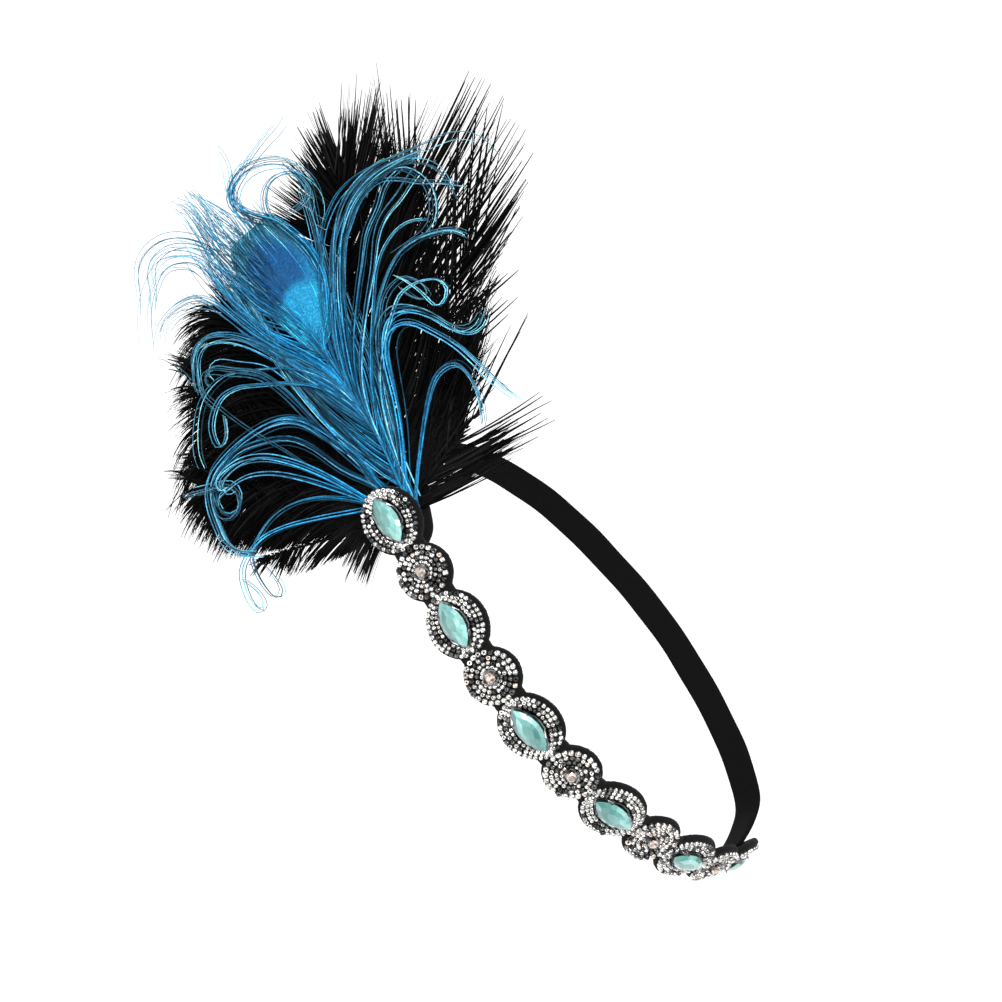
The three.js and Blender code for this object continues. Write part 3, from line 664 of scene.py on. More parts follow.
# Rows of beads: (share of the way out, bead size), and (step out from the first, bead size)
OVAL_BEAD_ROWS = ((0.16, 1.32), (0.49, 1.34), (0.83, 1.42))
ROUND_BEAD_ROWS = ((0.0, 1.15), (1.4, 1.35), (2.9, 1.5), (4.5, 1.72))
FIRST_ROUND_ROW = RHINESTONE_RADIUS + CLAW_ROOM + 0.55


def even_ring(u, w, pitch, start):
    closed_u = np.append(u, u[0])
    closed_w = np.append(w, w[0])
    length = np.concatenate([[0], np.cumsum(np.hypot(np.diff(closed_u), np.diff(closed_w)))])
    count = max(5, int(round(length[-1] / pitch)))
    places = (np.arange(count) + start) / count * length[-1]
    step = 0.05
    at = [np.interp((places + d) % length[-1], length, c) for d in (0.0, step) for c in (closed_u, closed_w)]
    direction = np.arctan2(at[3] - at[1], at[2] - at[0])
    return at[0], at[1], direction


def bead_rings(index):
    """Rows of (u, w, direction, size) for the beads round one stone."""
    rows = []
    if index % 2 == 0:
        room = CLAW_ROOM + BEAD_CLEARANCE
        inner_u, inner_w = pointed_oval(STONE_HALF_LENGTH + room, STONE_HALF_WIDTH + room, OUTLINE_STEPS)
        turn = np.arctan2(inner_w / OVAL_BED_HALF_WIDTH, inner_u / OVAL_BED_HALF_LENGTH)
        outer_u = (OVAL_BED_HALF_LENGTH + 0.1) * np.cos(turn)
        outer_w = OVAL_BED_HALF_WIDTH * np.sin(turn)
        for share, size in OVAL_BEAD_ROWS:
            u = inner_u + (outer_u - inner_u) * share
            w = inner_w + (outer_w - inner_w) * share
            rows.append((u, w, size))
    else:
        turns = np.linspace(0, 2 * math.pi, CIRCLE_STEPS, endpoint=False)
        for step, size in ROUND_BEAD_ROWS:
            radius = FIRST_ROUND_ROW + step
            rows.append((radius * np.cos(turns), radius * np.sin(turns), size))
    beads = []
    for u, w, size in rows:
        bead_u, bead_w, direction = even_ring(u, w, size * BEAD_PITCH, rng.uniform())
        beads.append((bead_u, bead_w, direction, np.full(len(bead_u), size)))
    return [np.concatenate(column) for column in zip(*beads)]


def bead_shape(around=12, across=7):
    """A round glass bead about its hole along X, one unit wide."""
    hole = 0.14
    width = 0.45
    outer = 0.5
    tube = (outer - hole) / 2
    middle = hole + tube
    a = np.linspace(0, 2 * math.pi, around, endpoint=False)[:, None]
    b = np.linspace(0, 2 * math.pi, across, endpoint=False)[None, :]
    radius = middle + tube * np.cos(b)
    x = np.broadcast_to(width * np.sign(np.sin(b)) * np.abs(np.sin(b)) ** 0.8, (around, across))
    points = np.stack([x, radius * np.cos(a), radius * np.sin(a)], -1)
    return points, tube_faces(around, across, closed=True)


def rotation_about(axis, angle):
    c, s = np.cos(angle), np.sin(angle)
    matrix = np.zeros((len(angle), 3, 3))
    i, j = [(1, 2), (2, 0), (0, 1)][axis]
    matrix[:, axis, axis] = 1
    matrix[:, i, i] = c
    matrix[:, i, j] = -s
    matrix[:, j, i] = s
    matrix[:, j, j] = c
    return matrix


def make_beads(index, name, node):
    u, w, direction, size = bead_rings(index)
    count = len(u)
    size = size * rng.normal(0.97, 0.04, count)
    u = u + rng.normal(0, 0.05, count)
    w = w + rng.normal(0, 0.05, count)
    shape, faces = bead_shape()
    tip = rng.normal(0.0, 0.35, count) + np.where(rng.uniform(size=count) < 0.35, math.pi / 3, 0.0)
    local = shape[None] * size[:, None, None, None]
    turn = rotation_about(2, direction + rng.normal(0, 0.15, count)) @ rotation_about(1, tip)
    local = np.einsum("nij,nabj->nabi", turn, local)
    bead_u = u[:, None, None] + local[..., 0]
    bead_w = w[:, None, None] + local[..., 1]
    rise = -GAP + 0.02 + 0.46 * size[:, None, None] + local[..., 2]
    vertices = bend(medallion_distance(index) + bead_u, bead_w, JEWEL_BASE + rise)
    per_bead = shape.shape[0] * shape.shape[1]
    all_faces = faces[None] + (np.arange(count) * per_bead)[:, None, None]
    chances = OVAL_CHANCES if index % 2 == 0 else ROUND_CHANCES
    kind = rng.choice(len(BEAD_TINTS), count, p=chances)
    tint = np.repeat(BEAD_TINTS[kind] * rng.normal(1.0, 0.1, (count, 1)).clip(0.6, 1.4), per_bead, axis=0)
    beads = mesh_object(name, vertices, [all_faces.reshape(-1, 4)[:, ::-1]], True, tint)
    return place_piece(beads, BEADS, "seed_beads", node)


# Strand paths in the plume plane

QUILL_STEPS = 60


def walk(t0, z0, length, headings):
    """headings (n, k) in degrees, lengths (n,): paths of k points from the given roots."""
    step = (length / (headings.shape[1] - 1))[:, None]
    angle = np.radians((headings[:, 1:] + headings[:, :-1]) / 2)
    t = np.concatenate([np.zeros((len(headings), 1)), np.cumsum(step * np.cos(angle), 1)], 1) + t0[:, None]
    z = np.concatenate([np.zeros((len(headings), 1)), np.cumsum(step * np.sin(angle), 1)], 1) + z0[:, None]
    return t, z


def quill_at(root, heading, bend_by, length, share):
    share = np.atleast_1d(np.asarray(share, float))
    fine = np.linspace(0, 1, QUILL_STEPS)
    angle = np.radians(heading + bend_by * fine)
    t = np.concatenate([[0], np.cumsum(np.cos(angle[1:]) * length / (QUILL_STEPS - 1))]) + root[0]
    z = np.concatenate([[0], np.cumsum(np.sin(angle[1:]) * length / (QUILL_STEPS - 1))]) + root[1]
    return np.interp(share, fine, t), np.interp(share, fine, z), heading + bend_by * share


# Each black feather: its raggedness, how many strands pass the outline (share) and how far (share),
# its shaft's heading, bend and length, how far it stands out, its strands' thickness, and how many run
# together. Each side has its strands' count, their lengths and their opening at the root, in the
# middle and at the tip, and how far they droop towards their ends.
BLACK_FEATHERS = [
    dict(name="top", ragged=0.05, far=(0.1, 0.05), shaft=(19, 7, 104), lift=5, thick=0.9, group=4,
         upper=dict(count=460, lengths=(46, 44, 32), open=(42, 36, 8), droop=0),
         lower=dict(count=900, lengths=(44, 48, 36), open=(42, 66, 14), droop=0)),
    dict(name="spray", ragged=0.1, far=(0.5, 0.12), shaft=(33, 5, 100), lift=3, thick=1.1, group=3,
         upper=dict(count=110, lengths=(80, 78, 34), open=(36, 34, 26), droop=0),
         lower=dict(count=105, lengths=(50, 48, 38), open=(18, 12, 6), droop=0)),
    dict(name="spray_back", ragged=0.16, far=(0.4, 0.27), shaft=(47, 5, 80), lift=1.5, thick=1.1, group=3,
         upper=dict(count=60, lengths=(62, 54, 40), open=(34, 32, 22), droop=0),
         lower=dict(count=64, lengths=(56, 48, 40), open=(26, 20, 8), droop=0)),
    dict(name="side", ragged=0.14, far=(0.09, 0.9), shaft=(68, 9, 42), lift=0, thick=1.0, group=3,
         upper=dict(count=210, lengths=(34, 30, 22), open=(32, 24, 14), droop=0),
         lower=dict(count=260, lengths=(46, 40, 26), open=(30, 28, 12), droop=0)),
    dict(name="left", ragged=0.06, far=(0.04, 0.04), shaft=(-8, -4, 88), lift=4.5, thick=1.0, group=5,
         upper=dict(count=420, lengths=(42, 34, 16), open=(36, 30, 12), droop=35),
         lower=dict(count=460, lengths=(42, 38, 20), open=(38, 36, 20), droop=80)),
    dict(name="left_middle", ragged=0.06, far=(0.04, 0.04), shaft=(-24, -4, 82), lift=3.5, thick=1.0, group=5,
         upper=dict(count=400, lengths=(42, 36, 16), open=(36, 30, 14), droop=40),
         lower=dict(count=440, lengths=(44, 40, 20), open=(38, 36, 22), droop=80)),
    dict(name="left_low", ragged=0.08, far=(0.04, 0.08), shaft=(-44, -7, 70), lift=2.5, thick=1.0, group=5,
         upper=dict(count=360, lengths=(40, 34, 16), open=(36, 30, 14), droop=40),
         lower=dict(count=400, lengths=(42, 36, 18), open=(40, 38, 24), droop=65)),
    dict(name="low", ragged=0.12, far=(0.05, 0.18), shaft=(-66, -9, 54), lift=1, thick=0.95, group=4,
         upper=dict(count=330, lengths=(38, 32, 18), open=(34, 28, 14), droop=40),
         lower=dict(count=360, lengths=(34, 30, 18), open=(48, 40, 20), droop=45)),
]
BARB_START = 0.02
BARB_CROWDING = 0.85
BARB_LENGTH_SPREAD = 0.05
BARB_OPENING_SPREAD = 0.06
CLUMP_LENGTH_SPREAD = 0.08
CLUMP_TURN = 2.5
BARB_POINTS = 24
BARB_STEPS = 8
HAIR_SHARE = 3
HAIR_WIDTH = 0.13
BARB_WIDTH = 0.34
BARB_TAPER = ([0, 0.15, 0.5, 0.8, 1], [0.8, 1, 0.95, 0.75, 0.3])
# Black strands' tone varies at random; the few lighter strands are painted highlight streaks
BLACK_TONE_AND_HIGHLIGHT = (0.0015, 0.014)
BLACK_CAST = (1.0, 0.98, 1.02)
SHAFT_WIDTH = 0.8
SHAFT_SHADE = 0.006


def clump(values, size, pull):
    """Pulls the far ends of each run of strands together, as oiled barbs do."""
    n, k = values.shape
    whole = n // size * size
    groups = values[:whole].reshape(-1, size, k)
    middle = groups.mean(1, keepdims=True)
    weight = pull * np.linspace(0, 1, k)[None, None, :] ** 1.4
    out = values.copy()
    out[:whole] = (groups * (1 - weight) + middle * weight).reshape(-1, k)
    return out


# The black plume's outline in pixels: traced, then adjusted, and guessed behind the blue feather
BLACK_OUTLINE = [
    (372, 528), (364, 544), (348, 564), (322, 572), (296, 572), (272, 568), (250, 561), (228, 556),
    (208, 543), (189, 527), (176, 508), (177, 484), (180, 455), (179, 425), (177, 392), (176, 362),
    (183, 322), (202, 298), (236, 288), (272, 255), (278, 205), (290, 182), (304, 156), (318, 134),
    (334, 118), (350, 106), (366, 94), (378, 92), (386, 110), (394, 138), (404, 146), (418, 136),
    (434, 120), (450, 112), (466, 122), (484, 134), (497, 152), (505, 174), (509, 200), (507, 226),
    (499, 250), (487, 280), (483, 306), (484, 332), (489, 354), (505, 375), (494, 399), (474, 421),
    (457, 444), (443, 464), (433, 478), (424, 490)]


def black_reach():
    """The outline round the hub: angles from the quill's run, and millimetres."""
    places = [photo_to_plume(x, y, BLACK_MIDDLE, BLACK_USUAL_LIFT) for x, y in BLACK_OUTLINE]
    t, z = np.array(places).T
    angle = np.degrees(np.arctan2(z - HUB_HEIGHT, t))
    order = np.argsort(angle)
    return angle[order], np.hypot(t, z - HUB_HEIGHT)[order]


REACH_ANGLES, REACH_LENGTHS = black_reach()


def trim_to_reach(t, z, steps, ragged):
    """Ends each strand where it meets the plume's outline, give or take its own raggedness."""
    radius = np.hypot(t, z - HUB_HEIGHT)
    angle = np.degrees(np.arctan2(z - HUB_HEIGHT, t))
    limit = np.interp(angle, REACH_ANGLES, REACH_LENGTHS) * (1 - ragged[:, None])
    past = radius > limit
    first = np.where(past.any(1), past.argmax(1), t.shape[1] - 1)
    share = np.linspace(0, 1, steps)[None, :] * first[:, None]
    low = np.floor(share).astype(int)
    high = np.minimum(low + 1, t.shape[1] - 1)
    part = share - low
    row = np.arange(len(t))[:, None]
    return t[row, low] * (1 - part) + t[row, high] * part, z[row, low] * (1 - part) + z[row, high] * part


def black_side(feather, spec, side, steps=BARB_STEPS, hair=False):
    group = feather["group"]
    count = spec["count"] // (HAIR_SHARE if hair else 1)
    share = np.sort(rng.uniform(BARB_START, 1.0, count) ** BARB_CROWDING)
    t0, z0, heading = quill_at((0.0, HUB_HEIGHT), *feather["shaft"], share)
    length = np.interp(share, [0.0, 0.6, 1.0], spec["lengths"])
    clumps = np.repeat(rng.normal(0, 1, count // group + 1), group)[:count]
    length = length * (1 + CLUMP_LENGTH_SPREAD * clumps + rng.normal(0, BARB_LENGTH_SPREAD, count))
    opening = np.interp(share, [0.0, 0.75, 1.0], spec["open"])
    opening = opening * (1 + rng.normal(0, BARB_OPENING_SPREAD, count)) + CLUMP_TURN * clumps
    v = np.linspace(0, 1, BARB_POINTS)[None, :]
    stray = rng.normal(0, 3.0 if hair else 1.5, (count, 1))
    bent = (1.08 - 0.25 * v) * opening[:, None] * side + stray * v
    headings = heading[:, None] + bent - spec["droop"] * v ** 1.6
    far = rng.uniform(size=count) < (0 if hair else feather["far"][0])
    t, z = walk(t0, z0, length * np.where(far | hair, 1.2, 1.0), headings)
    pull = 0.2 if hair else 0.5
    t = clump(t, group, pull)
    z = clump(z, group, pull)
    if hair:
        ragged = rng.normal(0.0, 0.04, count).clip(-0.04, 0.3)
    else:
        ragged = rng.gamma(1.1, feather["ragged"], count)
    ragged = np.where(far, -feather["far"][1] * rng.uniform(0, 1, count), ragged)
    t, z = trim_to_reach(t, z, steps, ragged.clip(-0.9, 0.6))
    v = np.linspace(0, 1, steps)[None, :]
    fan = fan_share(t, z)
    layer = np.repeat(rng.normal(0, 1.3, count // group + 1), group)[:count, None]
    depth = rng.normal(-0.5, 2.0, (count, 1)) * fan + layer * v * fan
    out = BLACK_MIDDLE + feather["lift"] * fan + depth.clip(-6.5, 4.5)
    out = np.minimum(out, BLUE_MIDDLE + BLUE_LIFT * fan - 0.9)
    return t, z, out


def make_black_feather(feather):
    sides = [(feather["upper"], 1), (feather["lower"], -1)]
    barbs = [black_side(feather, spec, side) for spec, side in sides]
    hairs = [black_side(feather, spec, side, hair=True) for spec, side in sides]
    t, z, out = [np.concatenate(columns) for columns in zip(*barbs, *hairs)]
    thickness = np.concatenate([np.full(len(row[0]), BARB_WIDTH * feather["thick"]) for row in barbs] +
                               [np.full(len(row[0]), HAIR_WIDTH) for row in hairs])[:, None]
    paths = plume_point(t, z, out)
    n, k = t.shape
    taper = np.interp(np.linspace(0, 1, k), *BARB_TAPER)[None, :]
    widths = thickness * taper * rng.uniform(0.75, 1.25, (n, 1))
    # Random tone per strand, its few lighter strands painted highlight streaks
    shade = BLACK_TONE_AND_HIGHLIGHT[0] + BLACK_TONE_AND_HIGHLIGHT[1] * rng.uniform(size=(n, 1, 1)) ** 4
    shade = shade * np.ones((1, k, 3)) * np.array(BLACK_CAST)
    thing = strand_object("black_barbs_" + feather["name"], paths, widths, widths * 0.6, shade, HUB_OUTWARD)
    place_piece(thing, BLACK_FEATHER, "black_feather", "black_plume")


def make_black_shafts():
    """The shafts of the black feathers, from the hub nearly to their tips."""
    share = np.linspace(0, 1, 24)
    rows = []
    for feather in BLACK_FEATHERS:
        t, z, _ = quill_at((0.0, HUB_HEIGHT), *feather["shaft"], share)
        fan = fan_share(t, z)
        out = np.minimum(BLACK_MIDDLE + feather["lift"] * fan, BLUE_MIDDLE + BLUE_LIFT * fan - 1.2)
        rows.append(plume_point(t, z, out))
    widths = np.broadcast_to(SHAFT_WIDTH * (1 - 0.8 * share), (len(rows), len(share)))
    tint = np.full((len(rows), len(share), 3), SHAFT_SHADE)
    thing = strand_object("black_shafts", np.stack(rows), widths, widths * 0.7, tint, HUB_OUTWARD)
    place_piece(thing, BLACK_FEATHER, "black_feather", "black_plume")


# Blue feather

BLUE_QUILL_LENGTH = 78.0
BLUE_QUILL_RAISE = 6.2
BLUE_QUILL_HEADING = 5.0
BLUE_QUILL_BEND = -3.0
BLUE_ROOT = (0.0, HUB_HEIGHT + BLUE_QUILL_RAISE)

# The eye's two edges in pixels, from its lower end up: traced, with points filled in between
EYE_RIGHT_EDGE = [
    (322, 352), (330, 338), (333, 320), (331, 300), (325, 278), (314, 256), (298, 236), (280, 221),
    (270, 216)]
EYE_LEFT_EDGE = [
    (321, 353), (308, 348), (292, 336), (276, 321), (260, 304), (246, 288), (235, 271), (229, 255),
    (233, 244)]
# Barbs on it, made pale by a painted highlight: (place across it, share of its length where they start)
EYE_LINES = [
    (1.03, 0.03), (1.0, 0.05), (0.55, 0.3), (0.3, 0.24), (0.05, 0.34), (-0.12, 0.36), (-0.5, 0.2),
    (-0.7, 0.12), (-0.9, 0.1)]
EYE_ROWS = 56
EYE_COLUMNS = 28
EYE_BARBS = 110
EYE_CROWN = 0.9
EYE_THICKNESS = 0.35

BLUE_DEEP = (0.003, 0.07, 0.2)
BLUE_MID = (0.01, 0.18, 0.37)
BLUE_BRIGHT = (0.012, 0.25, 0.47)
BLUE_PALE = (0.22, 0.58, 0.7)
BLUE_TEAL = (0.008, 0.1, 0.17)


def blue_quill(share):
    return quill_at(BLUE_ROOT, BLUE_QUILL_HEADING, BLUE_QUILL_BEND, BLUE_QUILL_LENGTH, share)


def blend_to(colour, target, weight):
    return colour * (1 - weight[..., None]) + np.array(target) * weight[..., None]


def inside(t, z, middle_t, middle_z, half_t, half_z, lean=0.0, soft=0.35):
    """1 inside an oval that leans by so many millimetres over its length, softly 0 outside."""
    shifted = z - middle_z - lean * (t - middle_t)
    reach = np.hypot((t - middle_t) / half_t, shifted / half_z)
    return np.clip((1 + soft - reach) / (2 * soft), 0, 1) ** 1.5


def blue_colour(t, z, v):
    """Colour by the place on the feather, paler towards a strand's end (v = 1)."""
    colour = np.zeros(t.shape + (3,)) + BLUE_MID
    colour = blend_to(colour, BLUE_TEAL, inside(t, z, 92, 5, 12, 12, -0.1) * 0.8)
    colour = blend_to(colour, BLUE_DEEP, inside(t, z, 81, 5.5, 13, 10, -0.1, 0.25))
    colour = blend_to(colour, BLUE_BRIGHT, inside(t, z, 65, 8, 9.5, 8.5, 0.0, 0.15))
    return blend_to(colour, BLUE_PALE, v ** 3 * 0.55)


# Each tress: where it leaves the quill (share), its strands, and their width together at its start,
# middle and end. The strands of a tress that frays end one after another. Its trace is its middle line
# past the quill, read off the photograph as pixels.
LOWER_TRESSES = dict(
    arch_long=dict(leave=0.02, strands=8, widths=(3.0, 2.2, 1.4), trace=[
        (372, 478), (360, 460), (331, 439), (302, 422), (279, 422), (254, 435), (230, 456), (214, 480),
        (214, 503), (222, 525), (233, 546), (249, 553), (270, 553)]),
    arch_curl=dict(leave=0.02, strands=6, widths=(1.6, 1.6, 0.5), trace=[
        (372, 484), (340, 468), (312, 447), (289, 439), (264, 443), (243, 451), (226, 470), (216, 491),
        (220, 510), (231, 518), (243, 510), (245, 495), (236, 484), (215, 488), (189, 495)]),
    arch_low=dict(leave=0.0, strands=5, widths=(1.2, 1.4, 0.8), trace=[
        (365, 498), (321, 474), (294, 464), (270, 460), (249, 464), (233, 476), (227, 487), (233, 495),
        (243, 489)]),
    arch_lowest=dict(leave=0.0, strands=4, widths=(0.8, 1.0, 0.6), trace=[
        (369, 502), (340, 491), (302, 480), (273, 476), (249, 480), (231, 493), (222, 503), (228, 514)]),
    drop_right=dict(leave=0.0, strands=3, widths=(1.0, 0.8, 0.15), trace=[
        (366, 503), (340, 499), (312, 500), (289, 508), (272, 522), (260, 541), (254, 556), (258, 571),
        (268, 588), (281, 600), (288, 594), (281, 579), (268, 564)]),
    drop_left=dict(leave=0.0, strands=3, widths=(0.9, 0.8, 0.15), trace=[
        (359, 511), (321, 518), (287, 527), (264, 539), (250, 556), (244, 571), (247, 588), (256, 606),
        (266, 613), (269, 606), (262, 592), (247, 579)]),
    straight=dict(leave=0.0, strands=2, widths=(0.4, 0.4, 0.4), trace=[
        (360, 496), (321, 474), (292, 455), (254, 432), (226, 411), (197, 384), (180, 365)]),
    arch_middle=dict(leave=0.03, strands=7, widths=(1.4, 2.0, 1.6), trace=[
        (380, 485), (342, 448), (312, 418), (288, 392), (265, 375), (238, 371), (215, 370), (210, 380),
        (217, 387)]),
    side_drop=dict(leave=0.3, strands=3, widths=(0.5, 0.7, 0.3), trace=[
        (262, 385), (240, 388), (225, 397), (217, 414), (216, 432), (225, 449), (232, 438), (231, 416)]),
    side_drop_low=dict(leave=0.28, strands=3, widths=(0.5, 0.7, 0.5), trace=[
        (250, 372), (225, 378), (207, 398), (201, 422), (202, 456), (208, 471)]),
)
UPPER_TRESSES = dict(
    hook=dict(leave=0.0, strands=5, widths=(0.9, 1.0, 0.7), trace=[
        (415, 498), (418, 465), (424, 425), (430, 395), (440, 372), (458, 363), (473, 375), (483, 395),
        (490, 432)]),
    wave=dict(leave=0.01, strands=7, widths=(1.3, 1.9, 0.8), trace=[
        (403, 495), (392, 398), (383, 352), (387, 325), (398, 313), (418, 313), (438, 320), (458, 332),
        (475, 333), (485, 325), (490, 308)]),
    fall=dict(leave=0.02, strands=5, widths=(1.1, 1.8, 1.3), trace=[
        (408, 495), (403, 432), (394, 382), (388, 348), (393, 328), (412, 322), (435, 332), (458, 345),
        (478, 362), (502, 385), (525, 400)]),
    loop_outer=dict(leave=0.04, strands=3, widths=(0.6, 0.5, 0.3), trace=[
        (395, 312), (402, 295), (415, 285), (428, 280), (442, 280), (451, 287), (450, 300), (442, 308),
        (435, 303), (428, 295), (418, 287), (407, 280), (398, 277)]),
    loop_inner=dict(leave=0.04, strands=3, widths=(0.6, 0.5, 0.3), trace=[
        (383, 318), (385, 302), (392, 288), (405, 278), (418, 280), (428, 287), (432, 295), (428, 300),
        (418, 298), (410, 293), (405, 287)]),
    loop_side=dict(leave=0.05, strands=6, widths=(1.2, 1.4, 1.0), trace=[
        (376, 318), (383, 290), (392, 268), (405, 250), (425, 238), (442, 233), (458, 232), (472, 238)]),
    crest=dict(leave=0.25, strands=24, widths=(5.0, 4.4, 2.6), fray=0.25, trace=[
        (341, 330), (338, 290), (340, 246), (345, 222), (352, 204), (364, 188), (380, 174), (400, 163),
        (425, 153)]),
    crest_edge=dict(leave=0.4, strands=3, widths=(0.6, 0.6, 1.4), fray=0.2, trace=[
        (322, 290), (321, 262), (322, 246), (324, 229), (331, 209), (339, 194), (354, 179), (372, 168),
        (389, 160), (405, 153), (430, 143), (459, 132), (480, 135), (494, 145), (504, 156)]),
    crest_second=dict(leave=0.18, strands=5, widths=(0.9, 0.9, 0.8), trace=[
        (356, 321), (364, 269), (370, 235), (382, 209), (390, 187), (406, 172)]),
    crest_third=dict(leave=0.12, strands=5, widths=(0.9, 0.9, 0.9), trace=[
        (363, 338), (368, 304), (375, 269), (380, 235), (388, 216), (404, 197), (415, 181), (424, 170)]),
    crest_fourth=dict(leave=0.1, strands=4, widths=(0.7, 0.8, 0.8), trace=[
        (375, 320), (377, 300), (381, 270), (388, 250), (402, 231), (416, 223), (434, 221)]),
    crest_curl=dict(leave=0.25, strands=4, widths=(0.9, 0.8, 0.8), fray=0.1, trace=[
        (341, 330), (338, 290), (340, 246), (345, 222), (352, 204), (364, 188), (380, 174), (398, 165),
        (413, 161), (426, 162), (437, 165), (449, 176), (457, 190), (463, 204)]),
    crest_return=dict(leave=0.3, strands=4, widths=(0.9, 0.8, 0.8), fray=0.1, trace=[
        (345, 300), (346, 240), (360, 205), (380, 180), (398, 170), (410, 169), (420, 174), (430, 182),
        (437, 194), (440, 211), (437, 228), (425, 240), (413, 249), (398, 260)]),
    crest_across=dict(leave=0.3, strands=3, widths=(0.6, 0.8, 0.9), trace=[
        (350, 230), (362, 200), (380, 182), (400, 180), (420, 183), (440, 183), (468, 186)]),
)
TIP_TRESSES = dict(
    ring_outer=dict(leave=0.7, strands=10, widths=(1.0, 2.6, 3.6), fray=0.3, trace=[
        (328, 305), (325, 278), (310, 249), (293, 234), (275, 222), (258, 219), (243, 213), (231, 203),
        (233, 186), (243, 173), (259, 165), (281, 163), (299, 170), (314, 183), (321, 199), (319, 221),
        (306, 236)]),
    ring_inner=dict(leave=0.8, strands=5, widths=(0.8, 1.4, 1.4), fray=0.2, trace=[
        (322, 280), (308, 254), (292, 237), (278, 225), (269, 213), (266, 200), (268, 187), (278, 176),
        (294, 173), (307, 183), (312, 196), (299, 209), (281, 218)]),
    flare=dict(leave=0.8, strands=7, widths=(3.0, 3.0, 3.4), fray=0.3, trace=[
        (303, 292), (287, 266), (266, 240), (246, 219), (233, 205), (233, 190), (240, 176), (250, 160),
        (260, 146), (270, 134), (279, 124), (285, 112)]),
    flare_left=dict(leave=0.8, strands=5, widths=(3.0, 3.0, 2.0), fray=0.2, trace=[
        (290, 280), (270, 252), (250, 228), (236, 208), (230, 188), (228, 173), (224, 159), (216, 148)]),
    wedge=dict(leave=0.75, strands=42, widths=(9.0, 8.0, 4.5), fray=0.35, trace=[
        (262, 270), (240, 246), (218, 226), (203, 208), (188, 190)]),
    wedge_low=dict(leave=0.65, strands=24, widths=(6.0, 5.0, 4.0), fray=0.35, trace=[
        (250, 285), (219, 259), (204, 236), (188, 214), (172, 204)]),
    tip_arch=dict(leave=0.6, strands=9, widths=(3.0, 4.0, 5.0), fray=0.35, trace=[
        (240, 285), (219, 259), (203, 248), (182, 243), (165, 246), (150, 259), (146, 275), (149, 292),
        (150, 329)]),
    tip_arch_low=dict(leave=0.45, strands=8, widths=(2.6, 4.0, 5.0), fray=0.35, trace=[
        (257, 325), (235, 305), (218, 285), (198, 265), (182, 262), (165, 268), (155, 288), (150, 312),
        (152, 348)]),
    side_arch=dict(leave=0.4, strands=9, widths=(2.6, 3.4, 4.0), fray=0.3, trace=[
        (245, 330), (223, 312), (211, 303), (195, 300), (177, 309), (165, 325), (162, 342)]),
    side_arch_low=dict(leave=0.3, strands=12, widths=(3.0, 3.4, 3.4), fray=0.35, trace=[
        (300, 372), (268, 352), (248, 342), (225, 337), (205, 342), (197, 355), (197, 375), (202, 395),
        (215, 408)]),
)
TRESS_STEPS = 44
TRESS_FINE = 80
USUAL_FRAY = 0.05
# The bend from the quill to a tress's own line
LEAVING_STEPS = 16
LEAVING_REACH = 0.45
# The share of blue strands blended pale, as painted highlight lines
HIGHLIGHT_STRAND_SHARE = 0.12


def traced_run(trace, count):
    """A trace in the plume plane, evenly spaced, and its direction."""
    places = [photo_to_plume(x, y, BLUE_MIDDLE, BLUE_LIFT, TRESS_LIFT) for x, y in trace]
    path, _ = catmull([(t, z, 0.0) for t, z in places], count)
    t, z = smooth_row(path[:, :2].T, 3)
    return t, z, np.unwrap(np.arctan2(np.gradient(z), np.gradient(t)))


def smooth_row(values, passes=2):
    for _ in range(passes):
        inner = 0.25 * values[..., :-2] + 0.5 * values[..., 1:-1] + 0.25 * values[..., 2:]
        values = np.concatenate([values[..., :1], inner, values[..., -1:]], -1)
    return values


def resample(t, z, steps):
    length = np.concatenate([np.zeros((len(t), 1)), np.cumsum(np.hypot(np.diff(t), np.diff(z)), 1)], 1)
    share = np.linspace(0, 1, steps)
    out_t = np.empty((len(t), steps))
    out_z = np.empty((len(t), steps))
    for row in range(len(t)):
        at = share * length[row, -1]
        out_t[row] = np.interp(at, length[row], t[row])
        out_z[row] = np.interp(at, length[row], z[row])
    return out_t, out_z


